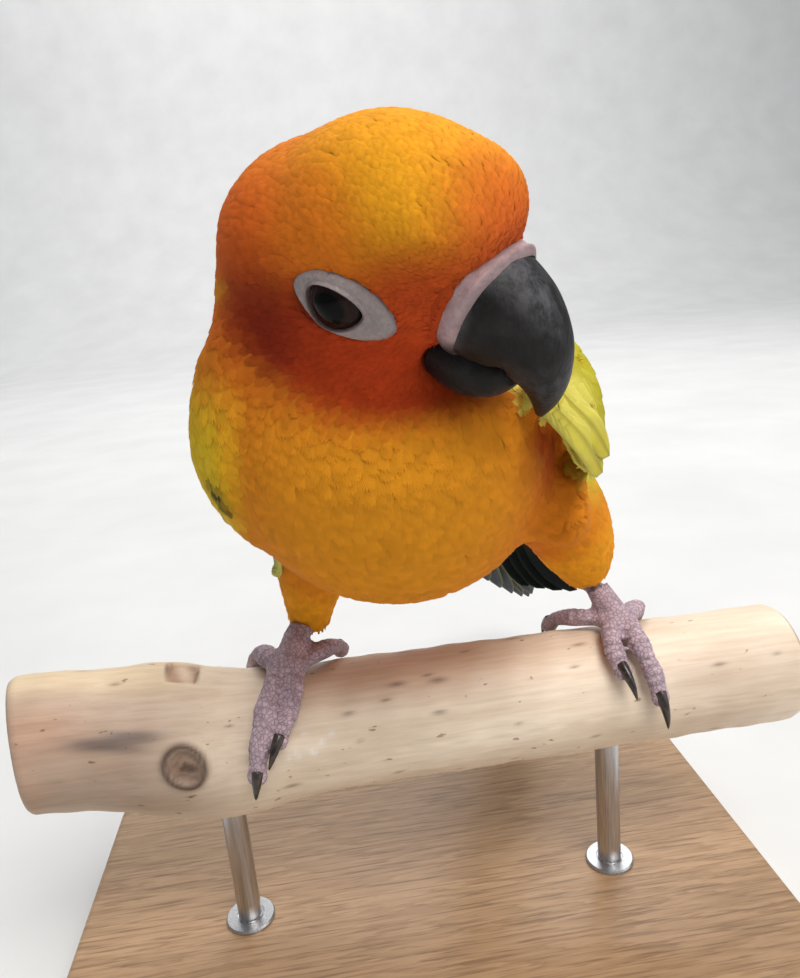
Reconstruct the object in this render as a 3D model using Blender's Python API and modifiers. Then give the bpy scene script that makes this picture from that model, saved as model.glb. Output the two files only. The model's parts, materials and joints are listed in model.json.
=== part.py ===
"""A life-size sun conure gripping a short cut branch, on a plain display stand.

The bird leans forward and turns its head to its left. Lengths are in millimetres and are
scaled to metres as each mesh is made. Positions are measured from the middle of the branch's
axis: +X is the bird's left, -Y is in front of the bird and +Z is up.
"""

import math

import bmesh
import bpy
import numpy as np
from mathutils import Matrix, Vector

MM = 0.001
GAP = 0.3  # air left between pieces that touch
SHARP_ANGLE = math.radians(40.0)

# Display stand
BASE_SIZE = (150.0, 92.0, 12.0)
BASE_EDGE = 2.0
TAIL_CLEARANCE = 9.0
ROD_RADIUS = 2.5
ROD_X = (-38.0, 42.0)

# Branch
BRANCH_RADIUS = 12.6
BRANCH_TAPER = -0.006  # change of radius for each millimetre towards +X
BRANCH_ENDS = (-76.0, 80.0)
BRANCH_END_TURN = 3.0  # how far the knotty end is cut back at the front
BRANCH_EDGE = 0.9  # how far the cut ends are rounded off
BRANCH_RISE = 5.0  # how far the knotty end lifts
# x, angle up from the front, height, spread along, spread round (degrees)
BRANCH_BUMPS = (
    (-44.0, 12.0, 1.6, 9.0, 32.0),
    (-40.0, -70.0, 2.6, 15.0, 45.0),
    (-46.0, 100.0, 2.8, 13.0, 30.0),
    (-70.0, 80.0, 1.0, 14.0, 40.0),
)
BRANCH_KNOT = (-42.6, 11.0, 4.0)  # x, angle, radius of the cut twig's scar

# Body stations from neck to tail: centre, half width, half depth, yaw of the left-right axis
BODY = (
    ((1.5, -34.0, 85.0), 12.5, 9.0, 4.0),
    ((-1.8, -29.5, 77.5), 22.0, 13.5, 5.0),
    ((-1.0, -24.0, 66.0), 27.5, 23.5, 7.0),
    ((1.5, -10.0, 57.8), 28.5, 28.0, 10.0),
    ((6.0, 5.5, 53.0), 26.0, 25.0, 14.0),
    ((10.5, 20.0, 49.5), 18.5, 18.0, 18.0),
    ((15.5, 33.0, 44.0), 11.0, 10.0, 22.0),
    ((24.0, 53.0, 29.0), 8.5, 6.0, 24.0),
    ((38.0, 84.5, 4.5), 6.5, 4.0, 24.0),
    ((58.0, 131.0, -31.5), 5.0, 3.0, 24.0),
)
TAIL_ROOT = 6  # the station where the tail feathers leave the body
NECK_CUT = 1.15  # stations at which the whole bird is parted
RUMP_CUT = 5.55

# Head: place of the point midway between the eyes, and how the head is turned
HEAD_AT = (4.6, -40.3, 89.2)
HEAD_YAW = 40.5
HEAD_PITCH = 15.0
HEAD_ROLL = -20.5
# centre and half sizes in the head's own axes: forward, left, up
HEAD_FORMS = (
    ((-5.0, 0.0, 2.5), (15.5, 15.0, 15.8)),  # skull
    ((4.6, 0.0, 6.6), (11.8, 12.6, 9.6)),  # forehead
    ((-1.5, 0.0, 5.5), (14.0, 13.6, 12.6)),  # brow
    ((3.2, 0.0, -1.6), (11.2, 11.0, 10.2)),  # face up to the bill
    ((-14.5, 0.0, -3.4), (20.8, 18.4, 17.8)),  # nape
    ((-4.2, 6.0, -6.8), (10.4, 9.6, 9.7)),  # left cheek
    ((-4.2, -6.0, -6.8), (10.4, 9.6, 9.7)),  # right cheek
    ((-2.6, 0.0, -10.4), (7.8, 7.5, 6.0)),  # chin
)
EYE_AT = (-0.8, 14.0, -0.8)
EYE_SIZES = (5.3, 4.2, 4.8)  # half length, half height and half depth of what shows of the eyeball
EYE_TURN = (14.0, 4.0)  # how far the eye looks forward and up, degrees
EYE_DEPTH = 2.6  # how far the eyeball's middle lies behind the lids
LID_RING = (8.4, 5.0, 2.0)  # half length, half height and half depth of the bare skin
LID_PLACE = Vector((0.4, 0.0, -1.0))

# Bill: centre (forward, up), half width, half height of each section
UPPER_BILL = (
    ((7.0, -1.6), 7.0, 7.3),
    ((12.4, -4.0), 6.9, 7.0),
    ((15.6, -5.8), 6.3, 6.2),
    ((18.2, -8.4), 5.0, 4.8),
    ((19.5, -11.6), 3.5, 3.4),
    ((19.6, -15.0), 2.1, 2.0),
    ((18.6, -18.8), 0.6, 0.6),
)
LOWER_BILL = (
    ((4.6, -11.0), 6.0, 4.6),
    ((9.0, -12.2), 6.2, 4.7),
    ((12.4, -12.5), 5.4, 3.8),
    ((15.4, -11.9), 3.4, 2.0),
)
CERE = (
    ((7.6, -1.4), 7.0, 7.2),
    ((10.6, -3.0), 7.5, 7.7),
    ((12.6, -4.0), 7.6, 7.7),
    ((14.0, -4.8), 7.1, 7.2),
)
NOSTRIL = (14.2, 4.6, 1.7, 0.9)  # forward, out, up, radius

# Wing tiers: (number of vanes, first root and last root, first tip and last tip, half width)
# Roots and tips are (body station, angle above the side in degrees).
VANE_THICKNESS = 0.55
VANE_TILT = 16.0
TIERS = {
    "primaries": (6, (3.7, -16.0), (4.2, 20.0), (7.7, 22.0), (6.6, 46.0), 3.5, 3.3),
    "secondaries": (6, (3.3, 14.0), (3.1, 62.0), (6.3, 44.0), (5.5, 78.0), 4.1, 4.0),
    "coverts": (7, (2.3, -14.0), (2.4, 60.0), (4.45, -20.0), (4.35, 70.0), 4.0, 4.9),
}
WING_SPREAD = {"right": -1.9, "left": 1.4}  # how far the wrist stands off the breast, at its most
WING_SPREAD_AT = (2.0, 4.0)  # station of the wrist, and how many stations the spread dies away over
WING_OVER_TAIL = 2.4  # how far the wing tips rise to lie over the tail
WING_RISE_AT = (5.6, 1.2)  # station where that rise starts, and how many stations it takes
WING_DROP = {"right": -8.0, "left": 5.0}  # degrees that the wing is turned up round the body
WING_LENGTH = 7.0  # stations over which that turn dies away
# shoulder and arm: station, middle angle, half span (degrees), thickness
WING_CORE = (
    (0.95, 14.0, 16.0, 3.4),
    (1.35, 14.0, 27.0, 5.4),
    (1.8, 14.0, 34.0, 6.2),
    (2.4, 15.0, 38.0, 6.2),
    (3.1, 18.0, 42.0, 6.0),
    (3.8, 20.0, 42.0, 4.8),
    (4.5, 23.0, 30.0, 2.8),
)

# Tail vanes from the middle outwards: length, in pairs
TAIL_VANES = (132.0, 124.0, 112.0, 98.0, 83.0, 68.0)
TAIL_VANE_HALF = 4.6
TAIL_FAN = 0.7  # degrees that each pair is turned out from the last
TAIL_STEP = 1.6  # how far each pair lies outside the last
# solid root: distance along, half width, half depth
TAIL_CORE = ((-6.0, 6.0, 5.0), (2.0, 9.6, 6.6), (13.0, 9.8, 4.4), (26.0, 8.2, 2.2), (38.0, 5.6, 1.0))
# short feathers over the root: place across, length
TAIL_COVERTS = ((0.0, 47.0), (-3.6, 41.0), (3.6, 41.0), (-6.4, 33.0), (6.4, 33.0))
TAIL_COVERT_HALF = 3.6
TAIL_COVERT_TILT = 6.0

# Legs: hip, knee fullness and ankle, with radii
LEGS = {
    "right": (
        ((-7.0, 0.0, 46.0), 12.0),
        ((-14.5, 2.0, 36.0), 8.6),
        ((-16.6, 6.6, 26.5), 6.0),
        ((-17.4, 8.0, 21.5), 4.6),
    ),
    "left": (
        ((22.0, -2.0, 50.0), 14.0),
        ((32.6, 0.0, 41.0), 10.6),
        ((38.4, 4.2, 30.5), 8.0),
        ((40.8, 6.6, 23.6), 5.2),
    ),
}
PALMS = {"right": (-22.6, 80.0), "left": (44.6, 88.0)}  # x and angle round the branch
PALM_RADIUS = 4.4
PALM_FLATNESS = 0.62
TARSUS_RADIUS = 2.6
TARSUS_SWELL = (1.1, 1.0, 1.0, 1.2, 1.3)  # from ankle to palm
# toe: points as (x, angle round the branch), radius at root and tip, joints
TOES = {
    "right": {
        "inner_front": (
            ((-21.4, 72.0), (-22.0, 50.0), (-24.0, 34.0), (-25.2, 24.0)),
            2.3, 1.8, 3,
        ),
        "outer_front": (
            ((-24.6, 70.0), (-27.0, 45.0), (-28.6, 22.0), (-29.6, 3.0)),
            2.4, 1.8, 4,
        ),
        "outer_back": (
            ((-26.2, 92.0), (-28.4, 122.0), (-31.0, 152.0), (-33.0, 176.0)),
            2.5, 1.9, 5,
        ),
        "inner_back": (
            ((-19.0, 88.0), (-15.4, 102.0), (-13.0, 120.0), (-12.0, 136.0)),
            2.3, 1.8, 2,
        ),
    },
    "left": {
        "inner_front": (
            ((42.8, 78.0), (41.2, 62.0), (41.2, 48.0), (41.6, 38.0)),
            2.3, 1.8, 3,
        ),
        "outer_front": (
            ((46.2, 76.0), (46.4, 56.0), (47.4, 32.0), (47.8, 16.0)),
            2.4, 1.8, 4,
        ),
        "outer_back": (
            ((48.2, 94.0), (52.0, 116.0), (53.6, 146.0), (54.6, 170.0)),
            2.3, 1.8, 5,
        ),
        "inner_back": (
            ((41.0, 94.0), (37.0, 104.0), (34.6, 124.0), (34.0, 142.0)),
            2.2, 1.7, 2,
        ),
    },
}
CLAW_ARC = 6.6  # length along the curve
CLAW_RADIUS = 1.25

COLOURS = {
    "crown": ((0.90, 0.45, 0.04), 0.8),
    "orange": ((0.85, 0.33, 0.02), 0.8),
    "yellow": ((0.85, 0.60, 0.03), 0.8),
    "flight": ((0.10, 0.22, 0.06), 0.7),
    "tail": ((0.17, 0.20, 0.05), 0.7),
    "bill": ((0.04, 0.04, 0.045), 0.35),
    "skin": ((0.62, 0.58, 0.60), 0.6),
    "foot": ((0.35, 0.26, 0.30), 0.6),
    "eye": ((0.01, 0.008, 0.006), 0.1),
    "bark": ((0.70, 0.50, 0.32), 0.6),
    "steel": ((0.60, 0.60, 0.62), 0.3),
    "board": ((0.74, 0.66, 0.55), 0.5),
}


def point(x, y, z):
    """A place measured from the branch's middle, in metres above the floor."""
    return Vector((x, y, z + BRANCH_HEIGHT)) * MM


def spline(rows, t):
    """Catmull-Rom through the rows, at station t."""
    rows = np.asarray(rows, float)
    last = len(rows) - 1
    i = int(min(max(math.floor(t), 0), last - 1))
    f = t - i
    before, after = rows[max(i - 1, 0)], rows[min(i + 2, last)]
    p, q = rows[i], rows[i + 1]
    return 0.5 * (
        2 * p
        + (q - before) * f
        + (2 * before - 5 * p + 4 * q - after) * f * f
        + (3 * p - before - 3 * q + after) * f**3
    )


BODY_ROWS = [(*centre, width, depth, yaw) for centre, width, depth, yaw in BODY]


def body_axes(t):
    """Centre, left, dorsal and backward directions, half width and half depth at station t."""
    x, y, z, width, depth, yaw = spline(BODY_ROWS, t)
    ahead = spline(BODY_ROWS, max(t - 0.05, 0.0))[:3]
    behind = spline(BODY_ROWS, min(t + 0.05, len(BODY) - 1))[:3]
    back = Vector(behind - ahead).normalized()
    turn = math.radians(yaw)
    left = Vector((math.cos(turn), -math.sin(turn), 0.0))
    left = (left - back * left.dot(back)).normalized()
    return Vector((x, y, z)), left, left.cross(back).normalized(), back, width, depth


def on_body(t, angle, off, side):
    """A point off the body's skin, at an angle above its side, and the outward direction."""
    centre, left, dorsal, _, width, depth = body_axes(t)
    c, s = math.cos(math.radians(angle)), math.sin(math.radians(angle))
    outward = (left * (side * c / width) + dorsal * (s / depth)).normalized()
    place = centre + left * (side * width * c) + dorsal * (depth * s) + outward * off
    return place, outward


def head_matrix():
    """The head's own axes, forward, left and up, as columns."""
    yaw, pitch, roll = (math.radians(a) for a in (HEAD_YAW, HEAD_PITCH, HEAD_ROLL))
    level = Vector((math.sin(yaw), -math.cos(yaw), 0.0))
    left = Vector((math.cos(yaw), math.sin(yaw), 0.0))
    up = Vector((0.0, 0.0, 1.0))
    forward = level * math.cos(pitch) - up * math.sin(pitch)
    up = level * math.sin(pitch) + up * math.cos(pitch)
    tilted = left * math.cos(roll) - up * math.sin(roll)
    up = left * math.sin(roll) + up * math.cos(roll)
    matrix = Matrix((forward, tilted, up)).transposed().to_4x4()
    matrix.translation = Vector(HEAD_AT)
    return matrix


def in_head(forward, left, up):
    """A place in the head's own axes, measured from the branch's middle."""
    return head_matrix() @ Vector((forward, left, up))


def collect(name):
    """A collection linked to the scene."""
    found = bpy.data.collections.new(name)
    bpy.context.scene.collection.children.link(found)
    return found


def material(name):
    """The Principled material of one finish."""
    made = bpy.data.materials.get(name)
    if made is None:
        made = bpy.data.materials.new(name)
        made.use_nodes = True
        shader = made.node_tree.nodes["Principled BSDF"]
        colour, roughness = COLOURS[name]
        shader.inputs["Base Color"].default_value = (*colour, 1.0)
        shader.inputs["Roughness"].default_value = roughness
        shader.inputs["Metallic"].default_value = 1.0 if name == "steel" else 0.0
    return made


def make_object(name, bm, finish=None, lift=True):
    """An object from a bmesh in millimetres round the branch's middle."""
    bmesh.ops.recalc_face_normals(bm, faces=bm.faces)
    mesh = bpy.data.meshes.new(name)
    if lift:
        bmesh.ops.translate(bm, vec=(0.0, 0.0, BRANCH_HEIGHT), verts=bm.verts)
        bmesh.ops.scale(bm, vec=(MM, MM, MM), verts=bm.verts)
    bm.to_mesh(mesh)
    bm.free()
    obj = bpy.data.objects.new(name, mesh)
    if finish:
        mesh.materials.append(material(finish))
        BIRD.objects.link(obj)
    else:
        bpy.context.scene.collection.objects.link(obj)
    return obj


def loft(rings):
    """A bmesh skin through rings of equal length, closed at both ends."""
    bm = bmesh.new()
    rows = [[bm.verts.new(p) for p in ring] for ring in rings]
    count = len(rows[0])
    for first, second in zip(rows, rows[1:]):
        for i in range(count):
            j = (i + 1) % count
            bm.faces.new((first[i], first[j], second[j], second[i]))
    bm.faces.new(reversed(rows[0]))
    bm.faces.new(rows[-1])
    return bm


def ring(centre, across, along, half_width, half_height, sides, power=2.0):
    """An ellipse, or a squarer curve for a power over 2, as a list of points."""
    points = []
    for i in range(sides):
        a = 2 * math.pi * i / sides
        c, s = math.cos(a), math.sin(a)
        x = math.copysign(abs(c) ** (2 / power), c)
        y = math.copysign(abs(s) ** (2 / power), s)
        points.append(centre + across * (x * half_width) + along * (y * half_height))
    return points


ROUND_END = ((0.0, 1.0), (0.45, 0.85), (0.75, 0.5))  # how far out and how wide each ring of a rounded end is
BLUNT_END = ((0.0, 1.0),)


def tube(path, radii, sides, flatten=1.0, up=Vector((0.0, 0.0, 1.0)), cap_rings=ROUND_END):
    """Rings round a path with rounded ends. Each ring's height is flattened towards up."""
    rings = []
    last = len(path) - 1
    for i, (centre, radius) in enumerate(zip(path, radii)):
        ahead = (path[min(i + 1, last)] - path[max(i - 1, 0)]).normalized()
        normal = up(centre) if callable(up) else up
        across = ahead.cross(normal).normalized()
        along = across.cross(ahead).normalized()
        if i in (0, last):
            outward = -ahead if i == 0 else ahead
            cap = [
                ring(centre + outward * radius * h, across, along, radius * w, radius * w * flatten, sides)
                for h, w in cap_rings
            ]
            rings.extend(reversed(cap) if i == 0 else cap)
        else:
            rings.append(ring(centre, across, along, radius, radius * flatten, sides))
    return rings


def ellipsoid(centre, sizes, matrix, segments=24, rings=16):
    """A bmesh ellipsoid in the axes of a matrix."""
    bm = bmesh.new()
    bmesh.ops.create_uvsphere(bm, u_segments=segments, v_segments=rings, radius=1.0)
    place = matrix @ Matrix.Translation(centre) @ Matrix.Diagonal((*sizes, 1.0))
    bmesh.ops.transform(bm, matrix=place, verts=bm.verts)
    return bm


def apply_modifiers(obj):
    """Replaces an object's mesh by its evaluated one."""
    graph = bpy.context.evaluated_depsgraph_get()
    mesh = bpy.data.meshes.new_from_object(obj.evaluated_get(graph))
    obj.modifiers.clear()
    old = obj.data
    obj.data = mesh
    bpy.data.meshes.remove(old)


def to_triangles(bm):
    """Splits every face into triangles without joining two corners that already share an edge."""
    for face in [f for f in bm.faces if len(f.verts) > 3]:
        corners, own = list(face.verts), set(face.edges)
        taken = [
            (v, e.other_vert(v)) for v in corners for e in v.link_edges
            if e not in own and e.other_vert(v) in corners
        ]
        if not taken:
            bmesh.ops.triangulate(bm, faces=[face])
        elif len(corners) == 4:
            first = 0 if corners[0] in taken[0] else 1
            bmesh.utils.face_split(face, corners[1 - first], corners[3 - first])
        else:
            bmesh.ops.poke(bm, faces=[face])


def mend(bm):
    """Reopens and refills the few places where two sheets of a mesh pinch together."""
    to_triangles(bm)
    pinched = [e for e in bm.edges if len(e.link_faces) > 2 and e.calc_length() < 0.6 * MM]
    if pinched:
        around = {f for e in pinched for v in e.verts for f in v.link_faces}
        bmesh.ops.delete(bm, geom=list(around), context="FACES")
        bmesh.ops.delete(bm, geom=[e for e in bm.edges if not e.link_faces], context="EDGES")
        bmesh.ops.holes_fill(bm, edges=[e for e in bm.edges if len(e.link_faces) == 1])
        to_triangles(bm)


def surfaces(bm):
    """The separate surfaces of a mesh, each a list of faces, largest first."""
    seen, groups = set(), []
    for face in bm.faces:
        if face in seen:
            continue
        seen.add(face)
        group, queue = [], [face]
        while queue:
            current = queue.pop()
            group.append(current)
            for edge in current.edges:
                for other in edge.link_faces:
                    if other not in seen:
                        seen.add(other)
                        queue.append(other)
        groups.append(group)
    return sorted(groups, key=lambda g: sum(f.calc_area() for f in g), reverse=True)


def keep_largest(obj):
    """Leaves only the largest closed surface of a mesh."""
    bm = bmesh.new()
    bm.from_mesh(obj.data)
    mend(bm)
    loose = [face for group in surfaces(bm)[1:] for face in group]
    bmesh.ops.delete(bm, geom=loose, context="FACES")
    bmesh.ops.delete(bm, geom=[e for e in bm.edges if not e.link_faces], context="EDGES")
    bmesh.ops.delete(bm, geom=[v for v in bm.verts if not v.link_edges], context="VERTS")
    bm.to_mesh(obj.data)
    bm.free()


def flatten_slivers(obj, angle=1.5):
    """Merges triangles that lie in one plane, which leaves fewer and better shaped ones."""
    bm = bmesh.new()
    bm.from_mesh(obj.data)
    bmesh.ops.remove_doubles(bm, verts=bm.verts, dist=0.002 * MM)
    bmesh.ops.dissolve_limit(bm, angle_limit=math.radians(angle), verts=bm.verts, edges=bm.edges)
    bmesh.ops.dissolve_degenerate(bm, dist=0.002 * MM, edges=bm.edges)
    to_triangles(bm)
    bmesh.ops.delete(bm, geom=[e for e in bm.edges if not e.link_faces], context="EDGES")
    bm.to_mesh(obj.data)
    bm.free()


def fuse(name, pieces, finish, solver="MANIFOLD"):
    """One closed body from a list of bmeshes, by one Boolean union."""
    objects = [make_object(f"{name}_piece", bm) for bm in pieces]
    first, rest = objects[0], objects[1:]
    group = collect(f"{name}_pieces")
    for obj in rest:
        group.objects.link(obj)
    union = first.modifiers.new("union", "BOOLEAN")
    union.operation, union.operand_type, union.collection = "UNION", "COLLECTION", group
    union.solver = solver
    apply_modifiers(first)
    for obj in rest:
        bpy.data.objects.remove(obj)
    bpy.data.collections.remove(group)
    flatten_slivers(first)
    keep_largest(first)
    first.name = name
    first.data.materials.clear()
    first.data.materials.append(material(finish))
    bpy.context.scene.collection.objects.unlink(first)
    BIRD.objects.link(first)
    return first


def soften(pieces, voxel, rounds, faces):
    """A smooth flesh form from overlapping pieces: remeshed together, smoothed and thinned out."""
    objects = [make_object("form", bm) for bm in pieces]
    merged = bmesh.new()
    for obj in objects:
        merged.from_mesh(obj.data)
        bpy.data.objects.remove(obj)
    form = make_object("flesh", merged, lift=False)
    remesh = form.modifiers.new("remesh", "REMESH")
    remesh.mode, remesh.voxel_size = "VOXEL", voxel * MM
    relax = form.modifiers.new("relax", "SMOOTH")
    relax.factor, relax.iterations = 0.5, rounds
    apply_modifiers(form)
    thin = form.modifiers.new("thin", "DECIMATE")
    thin.ratio = min(1.0, faces / (2 * len(form.data.polygons)))
    apply_modifiers(form)
    keep_largest(form)
    return form


def cut(obj, cutters, gap=GAP):
    """Cuts inflated copies of other pieces out of an object, so that it only meets them."""
    for cutter in cutters:
        copy = cutter.copy()
        copy.data = cutter.data.copy()
        bpy.context.scene.collection.objects.link(copy)
        swell = copy.modifiers.new("swell", "DISPLACE")
        swell.mid_level, swell.strength = 0.0, gap * MM
        apply_modifiers(copy)
        away = obj.modifiers.new("away", "BOOLEAN")
        away.operation, away.object, away.solver = "DIFFERENCE", copy, "MANIFOLD"
        apply_modifiers(obj)
        bpy.data.objects.remove(copy)
    flatten_slivers(obj, 2.0)
    keep_largest(obj)


def half_of(obj, name, place, normal, finish):
    """The part of a form on the far side of a plane, closed by a flat face half a gap beyond it."""
    bm = bmesh.new()
    bm.from_mesh(obj.data)
    normal = Vector(normal).normalized()
    plane = Vector(place) + normal * (GAP * MM / 2)
    geometry = bm.verts[:] + bm.edges[:] + bm.faces[:]
    made = bmesh.ops.bisect_plane(bm, geom=geometry, plane_co=plane, plane_no=normal, clear_inner=True)
    rim = [e for e in made["geom_cut"] if isinstance(e, bmesh.types.BMEdge)]
    bmesh.ops.holes_fill(bm, edges=rim)
    bmesh.ops.triangulate(bm, faces=bm.faces)
    return make_object(name, bm, finish, lift=False)


LONG_VANE = ((0.0, 0.55), (0.3, 1.0), (0.7, 1.0), (0.92, 0.68))
SHORT_VANE = ((0.0, 0.6), (0.5, 1.0), (0.88, 0.75))


def vane(path, outward, half_width, tilt, shape=LONG_VANE, thickness=VANE_THICKNESS, point_end=0.45):
    """One feather as a thin closed blade. It is split into triangles alike on both faces."""
    bm = bmesh.new()
    rows = []
    for t, share in shape:
        here, out = path(t), outward(t)
        ahead = (path(min(t + 0.02, 1.0)) - path(max(t - 0.02, 0.0))).normalized()
        across = ahead.cross(out).normalized()
        across = Matrix.Rotation(math.radians(tilt), 3, ahead) @ across
        normal = across.cross(ahead).normalized()
        if normal.dot(out) < 0:
            normal.negate()
        width = half_width * share
        crown = normal * (thickness * 0.35)
        top = [here - across * width, here + crown, here + across * width]
        rows.append(([bm.verts.new(p) for p in top], [bm.verts.new(p - normal * thickness) for p in top]))
    end = path(1.0)
    tip = (bm.verts.new(end), bm.verts.new(end - normal * thickness * point_end))
    for (top_a, low_a), (top_b, low_b) in zip(rows, rows[1:]):
        for k in (0, 1):
            for a, b, flip in ((top_a, top_b, False), (low_a, low_b, True)):
                for corners in ((a[k], a[k + 1], b[k]), (a[k + 1], b[k + 1], b[k])):
                    bm.faces.new(reversed(corners) if flip else corners)
        for k in (0, 2):
            bm.faces.new((top_a[k], top_b[k], low_b[k], low_a[k]))
    top, low = rows[-1]
    for k in (0, 1):
        bm.faces.new((top[k], top[k + 1], tip[0]))
        bm.faces.new((low[k + 1], low[k], tip[1]))
    for k in (0, 2):
        bm.faces.new((top[k], tip[0], tip[1], low[k]))
    top, low = rows[0]
    for k in (0, 1):
        bm.faces.new((top[k], low[k], low[k + 1], top[k + 1]))
    return bm


def branch_axis(x):
    """Height of the branch's axis, which lifts towards the knotty end."""
    share = min(max((-30.0 - x) / 47.0, 0.0), 1.0)
    return BRANCH_RISE * share * share * (3 - 2 * share)


def branch_radius(x, angle):
    """Radius of the branch at a place along it and an angle up from its front."""
    radius = BRANCH_RADIUS + BRANCH_TAPER * x
    for at, turn, height, along, round_ in BRANCH_BUMPS:
        away = (angle - turn + 180.0) % 360.0 - 180.0
        radius += height * math.exp(-(((x - at) / along) ** 2) - (away / round_) ** 2)
    return radius


def on_branch(x, angle, off):
    """A place off the branch's surface."""
    reach = branch_radius(x, angle) + off
    a = math.radians(angle)
    return Vector((x, -reach * math.cos(a), reach * math.sin(a) + branch_axis(x)))


def build_branch():
    """The cut branch, with its knots and the scar of a twig."""
    sides, stations = 22, 18
    rings = []
    low, high = BRANCH_ENDS
    for i in range(stations):
        share = i / (stations - 1)
        edge = -BRANCH_EDGE if i in (0, stations - 1) else 0.0
        around = []
        for k in range(sides):
            turn = 360.0 * k / sides
            back = BRANCH_END_TURN * math.cos(math.radians(turn)) * (1 - share) ** 3
            around.append(on_branch(low + (high - low) * share + back, turn, edge))
        rings.append(around)
    branch = make_object("perch", loft(rings), "bark")
    x, angle, radius = BRANCH_KNOT
    centre = on_branch(x, angle, 0.6)
    outward = (centre - Vector((x, 0.0, branch_axis(x)))).normalized()
    bm = bmesh.new()
    turn = outward.to_track_quat("Z", "Y").to_matrix().to_4x4()
    bmesh.ops.create_cone(
        bm,
        cap_ends=True,
        segments=16,
        radius1=radius * 0.75,
        radius2=radius,
        depth=3.0,
        matrix=Matrix.Translation(centre) @ turn,
    )
    scar = make_object("scar", bm)
    cut(branch, [scar], 0.0)
    bpy.data.objects.remove(scar)
    return branch


def build_flesh():
    """The feathered body, neck, head and thighs as one soft form."""
    sides = 28
    rings = []
    steps = [k * 0.35 for k in range(int(TAIL_ROOT / 0.35) + 1)]
    for t in steps:
        centre, left, dorsal, _, width, depth = body_axes(t)
        rings.append(ring(centre, left, dorsal, width, depth, sides))
    pieces = [loft(rings)]
    matrix = head_matrix()
    for centre, sizes in HEAD_FORMS:
        pieces.append(ellipsoid(Vector(centre), sizes, matrix))
    return soften(pieces, 1.4, 14, 1900)


def bill_part(name, sections, finish, power, sides=16):
    """One half of the bill, or the cere, through its sections."""
    matrix = head_matrix()
    side = matrix.to_3x3() @ Vector((0.0, 1.0, 0.0))
    rings = []
    last = len(sections) - 1
    for i, ((forward, up), half_width, half_height) in enumerate(sections):
        a, b = sections[max(i - 1, 0)][0], sections[min(i + 1, last)][0]
        ahead = Vector((b[0] - a[0], 0.0, b[1] - a[1])).normalized()
        rise = matrix.to_3x3() @ Vector((-ahead.z, 0.0, ahead.x))
        rings.append(ring(in_head(forward, 0.0, up), side, rise, half_width, half_height, sides, power))
    return make_object(name, loft(rings), finish)


def eye_axes(side):
    """Matrix of an eye: its own X runs forward along the lids, Z looks outwards."""
    forward, out, up = EYE_AT
    toward, above = (math.radians(a) for a in EYE_TURN)
    look = Vector((math.sin(toward), side * math.cos(toward) * math.cos(above), math.sin(above))).normalized()
    along = Vector((1.0, 0.0, -0.25))
    along = (along - look * along.dot(look)).normalized()
    matrix = Matrix((along, look.cross(along), look)).transposed().to_4x4()
    matrix.translation = Vector((forward, side * out, up))
    return head_matrix() @ matrix


def build_eye(side_name, side):
    """The eyeball and the almond of bare skin round it, with a form for its socket's rim."""
    matrix = eye_axes(side)
    ball = ellipsoid(Vector((-0.6, 0.0, -EYE_DEPTH)), EYE_SIZES, matrix, 14, 9)
    ball = make_object(f"eye_{side_name}", ball, "eye")
    rim = ellipsoid(LID_PLACE, LID_RING, matrix, 18, 6)
    lids = make_object(f"eye_ring_{side_name}", rim, "skin")
    socket = make_object(f"socket_{side_name}", ellipsoid(LID_PLACE, LID_RING, matrix, 18, 6))
    cut(lids, [ball])
    return ball, lids, socket


def wing_off(station, side_name, lift):
    """Height of the folded wing off the body at a station."""
    start, run = WING_RISE_AT
    over_tail = WING_OVER_TAIL * min(max((station - start) / run, 0.0), 1.0)
    wrist, reach = WING_SPREAD_AT
    return lift + over_tail + WING_SPREAD[side_name] * max(0.0, 1 - abs(station - wrist) / reach)


def wing_hang(station, side_name):
    """How far the folded wing is turned up round the body at a station, in degrees."""
    return WING_DROP[side_name] * max(0.0, 1 - station / WING_LENGTH)


def tier_vanes(tier, side, side_name):
    """The vanes of one tier of a folded wing, laid like shingles."""
    count, root_a, root_b, tip_a, tip_b, half_width, lift = TIERS[tier]
    vanes = []
    for i in range(count):
        f = i / (count - 1)
        root = [a + (b - a) * f for a, b in zip(root_a, root_b)]
        tip = [a + (b - a) * f for a, b in zip(tip_a, tip_b)]

        def path(t, root=root, tip=tip):
            station = root[0] + (tip[0] - root[0]) * t
            angle = root[1] + (tip[1] - root[1]) * t + wing_hang(station, side_name)
            return on_body(station, angle, wing_off(station, side_name, lift), side)[0]

        def outward(t, root=root, tip=tip):
            station = root[0] + (tip[0] - root[0]) * t
            angle = root[1] + (tip[1] - root[1]) * t + wing_hang(station, side_name)
            return on_body(station, angle, 0.0, side)[1]

        shape = SHORT_VANE if tier == "coverts" else LONG_VANE
        vanes.append(vane(path, outward, half_width, -VANE_TILT * side, shape))
    return vanes


def wing_core(side, side_name):
    """The solid shoulder and arm that the wing's vanes grow from."""
    rings = []
    for station, middle, span, thick in WING_CORE:
        around = []
        for k in range(12):
            a = 2 * math.pi * k / 12
            angle = middle + wing_hang(station, side_name) + span * math.cos(a)
            off = wing_off(station, side_name, thick * 0.5 * (1 + math.sin(a)) - 0.4)
            around.append(on_body(station, angle, off, side)[0])
        rings.append(around)
    return loft(rings)


def build_wing(side_name, side, body):
    """One folded wing: shoulder, coverts and flight feathers as a single piece."""
    core = make_object("core", wing_core(side, side_name))
    cut(core, [body])
    solid = bmesh.new()
    solid.from_mesh(core.data)
    bmesh.ops.scale(solid, vec=(1 / MM,) * 3, verts=solid.verts)
    bmesh.ops.translate(solid, vec=(0.0, 0.0, -BRANCH_HEIGHT), verts=solid.verts)
    bpy.data.objects.remove(core)
    vanes = [vane_ for tier in TIERS for vane_ in tier_vanes(tier, side, side_name)]
    return fuse(f"wing_{side_name}", [solid, *vanes], "yellow")


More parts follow.
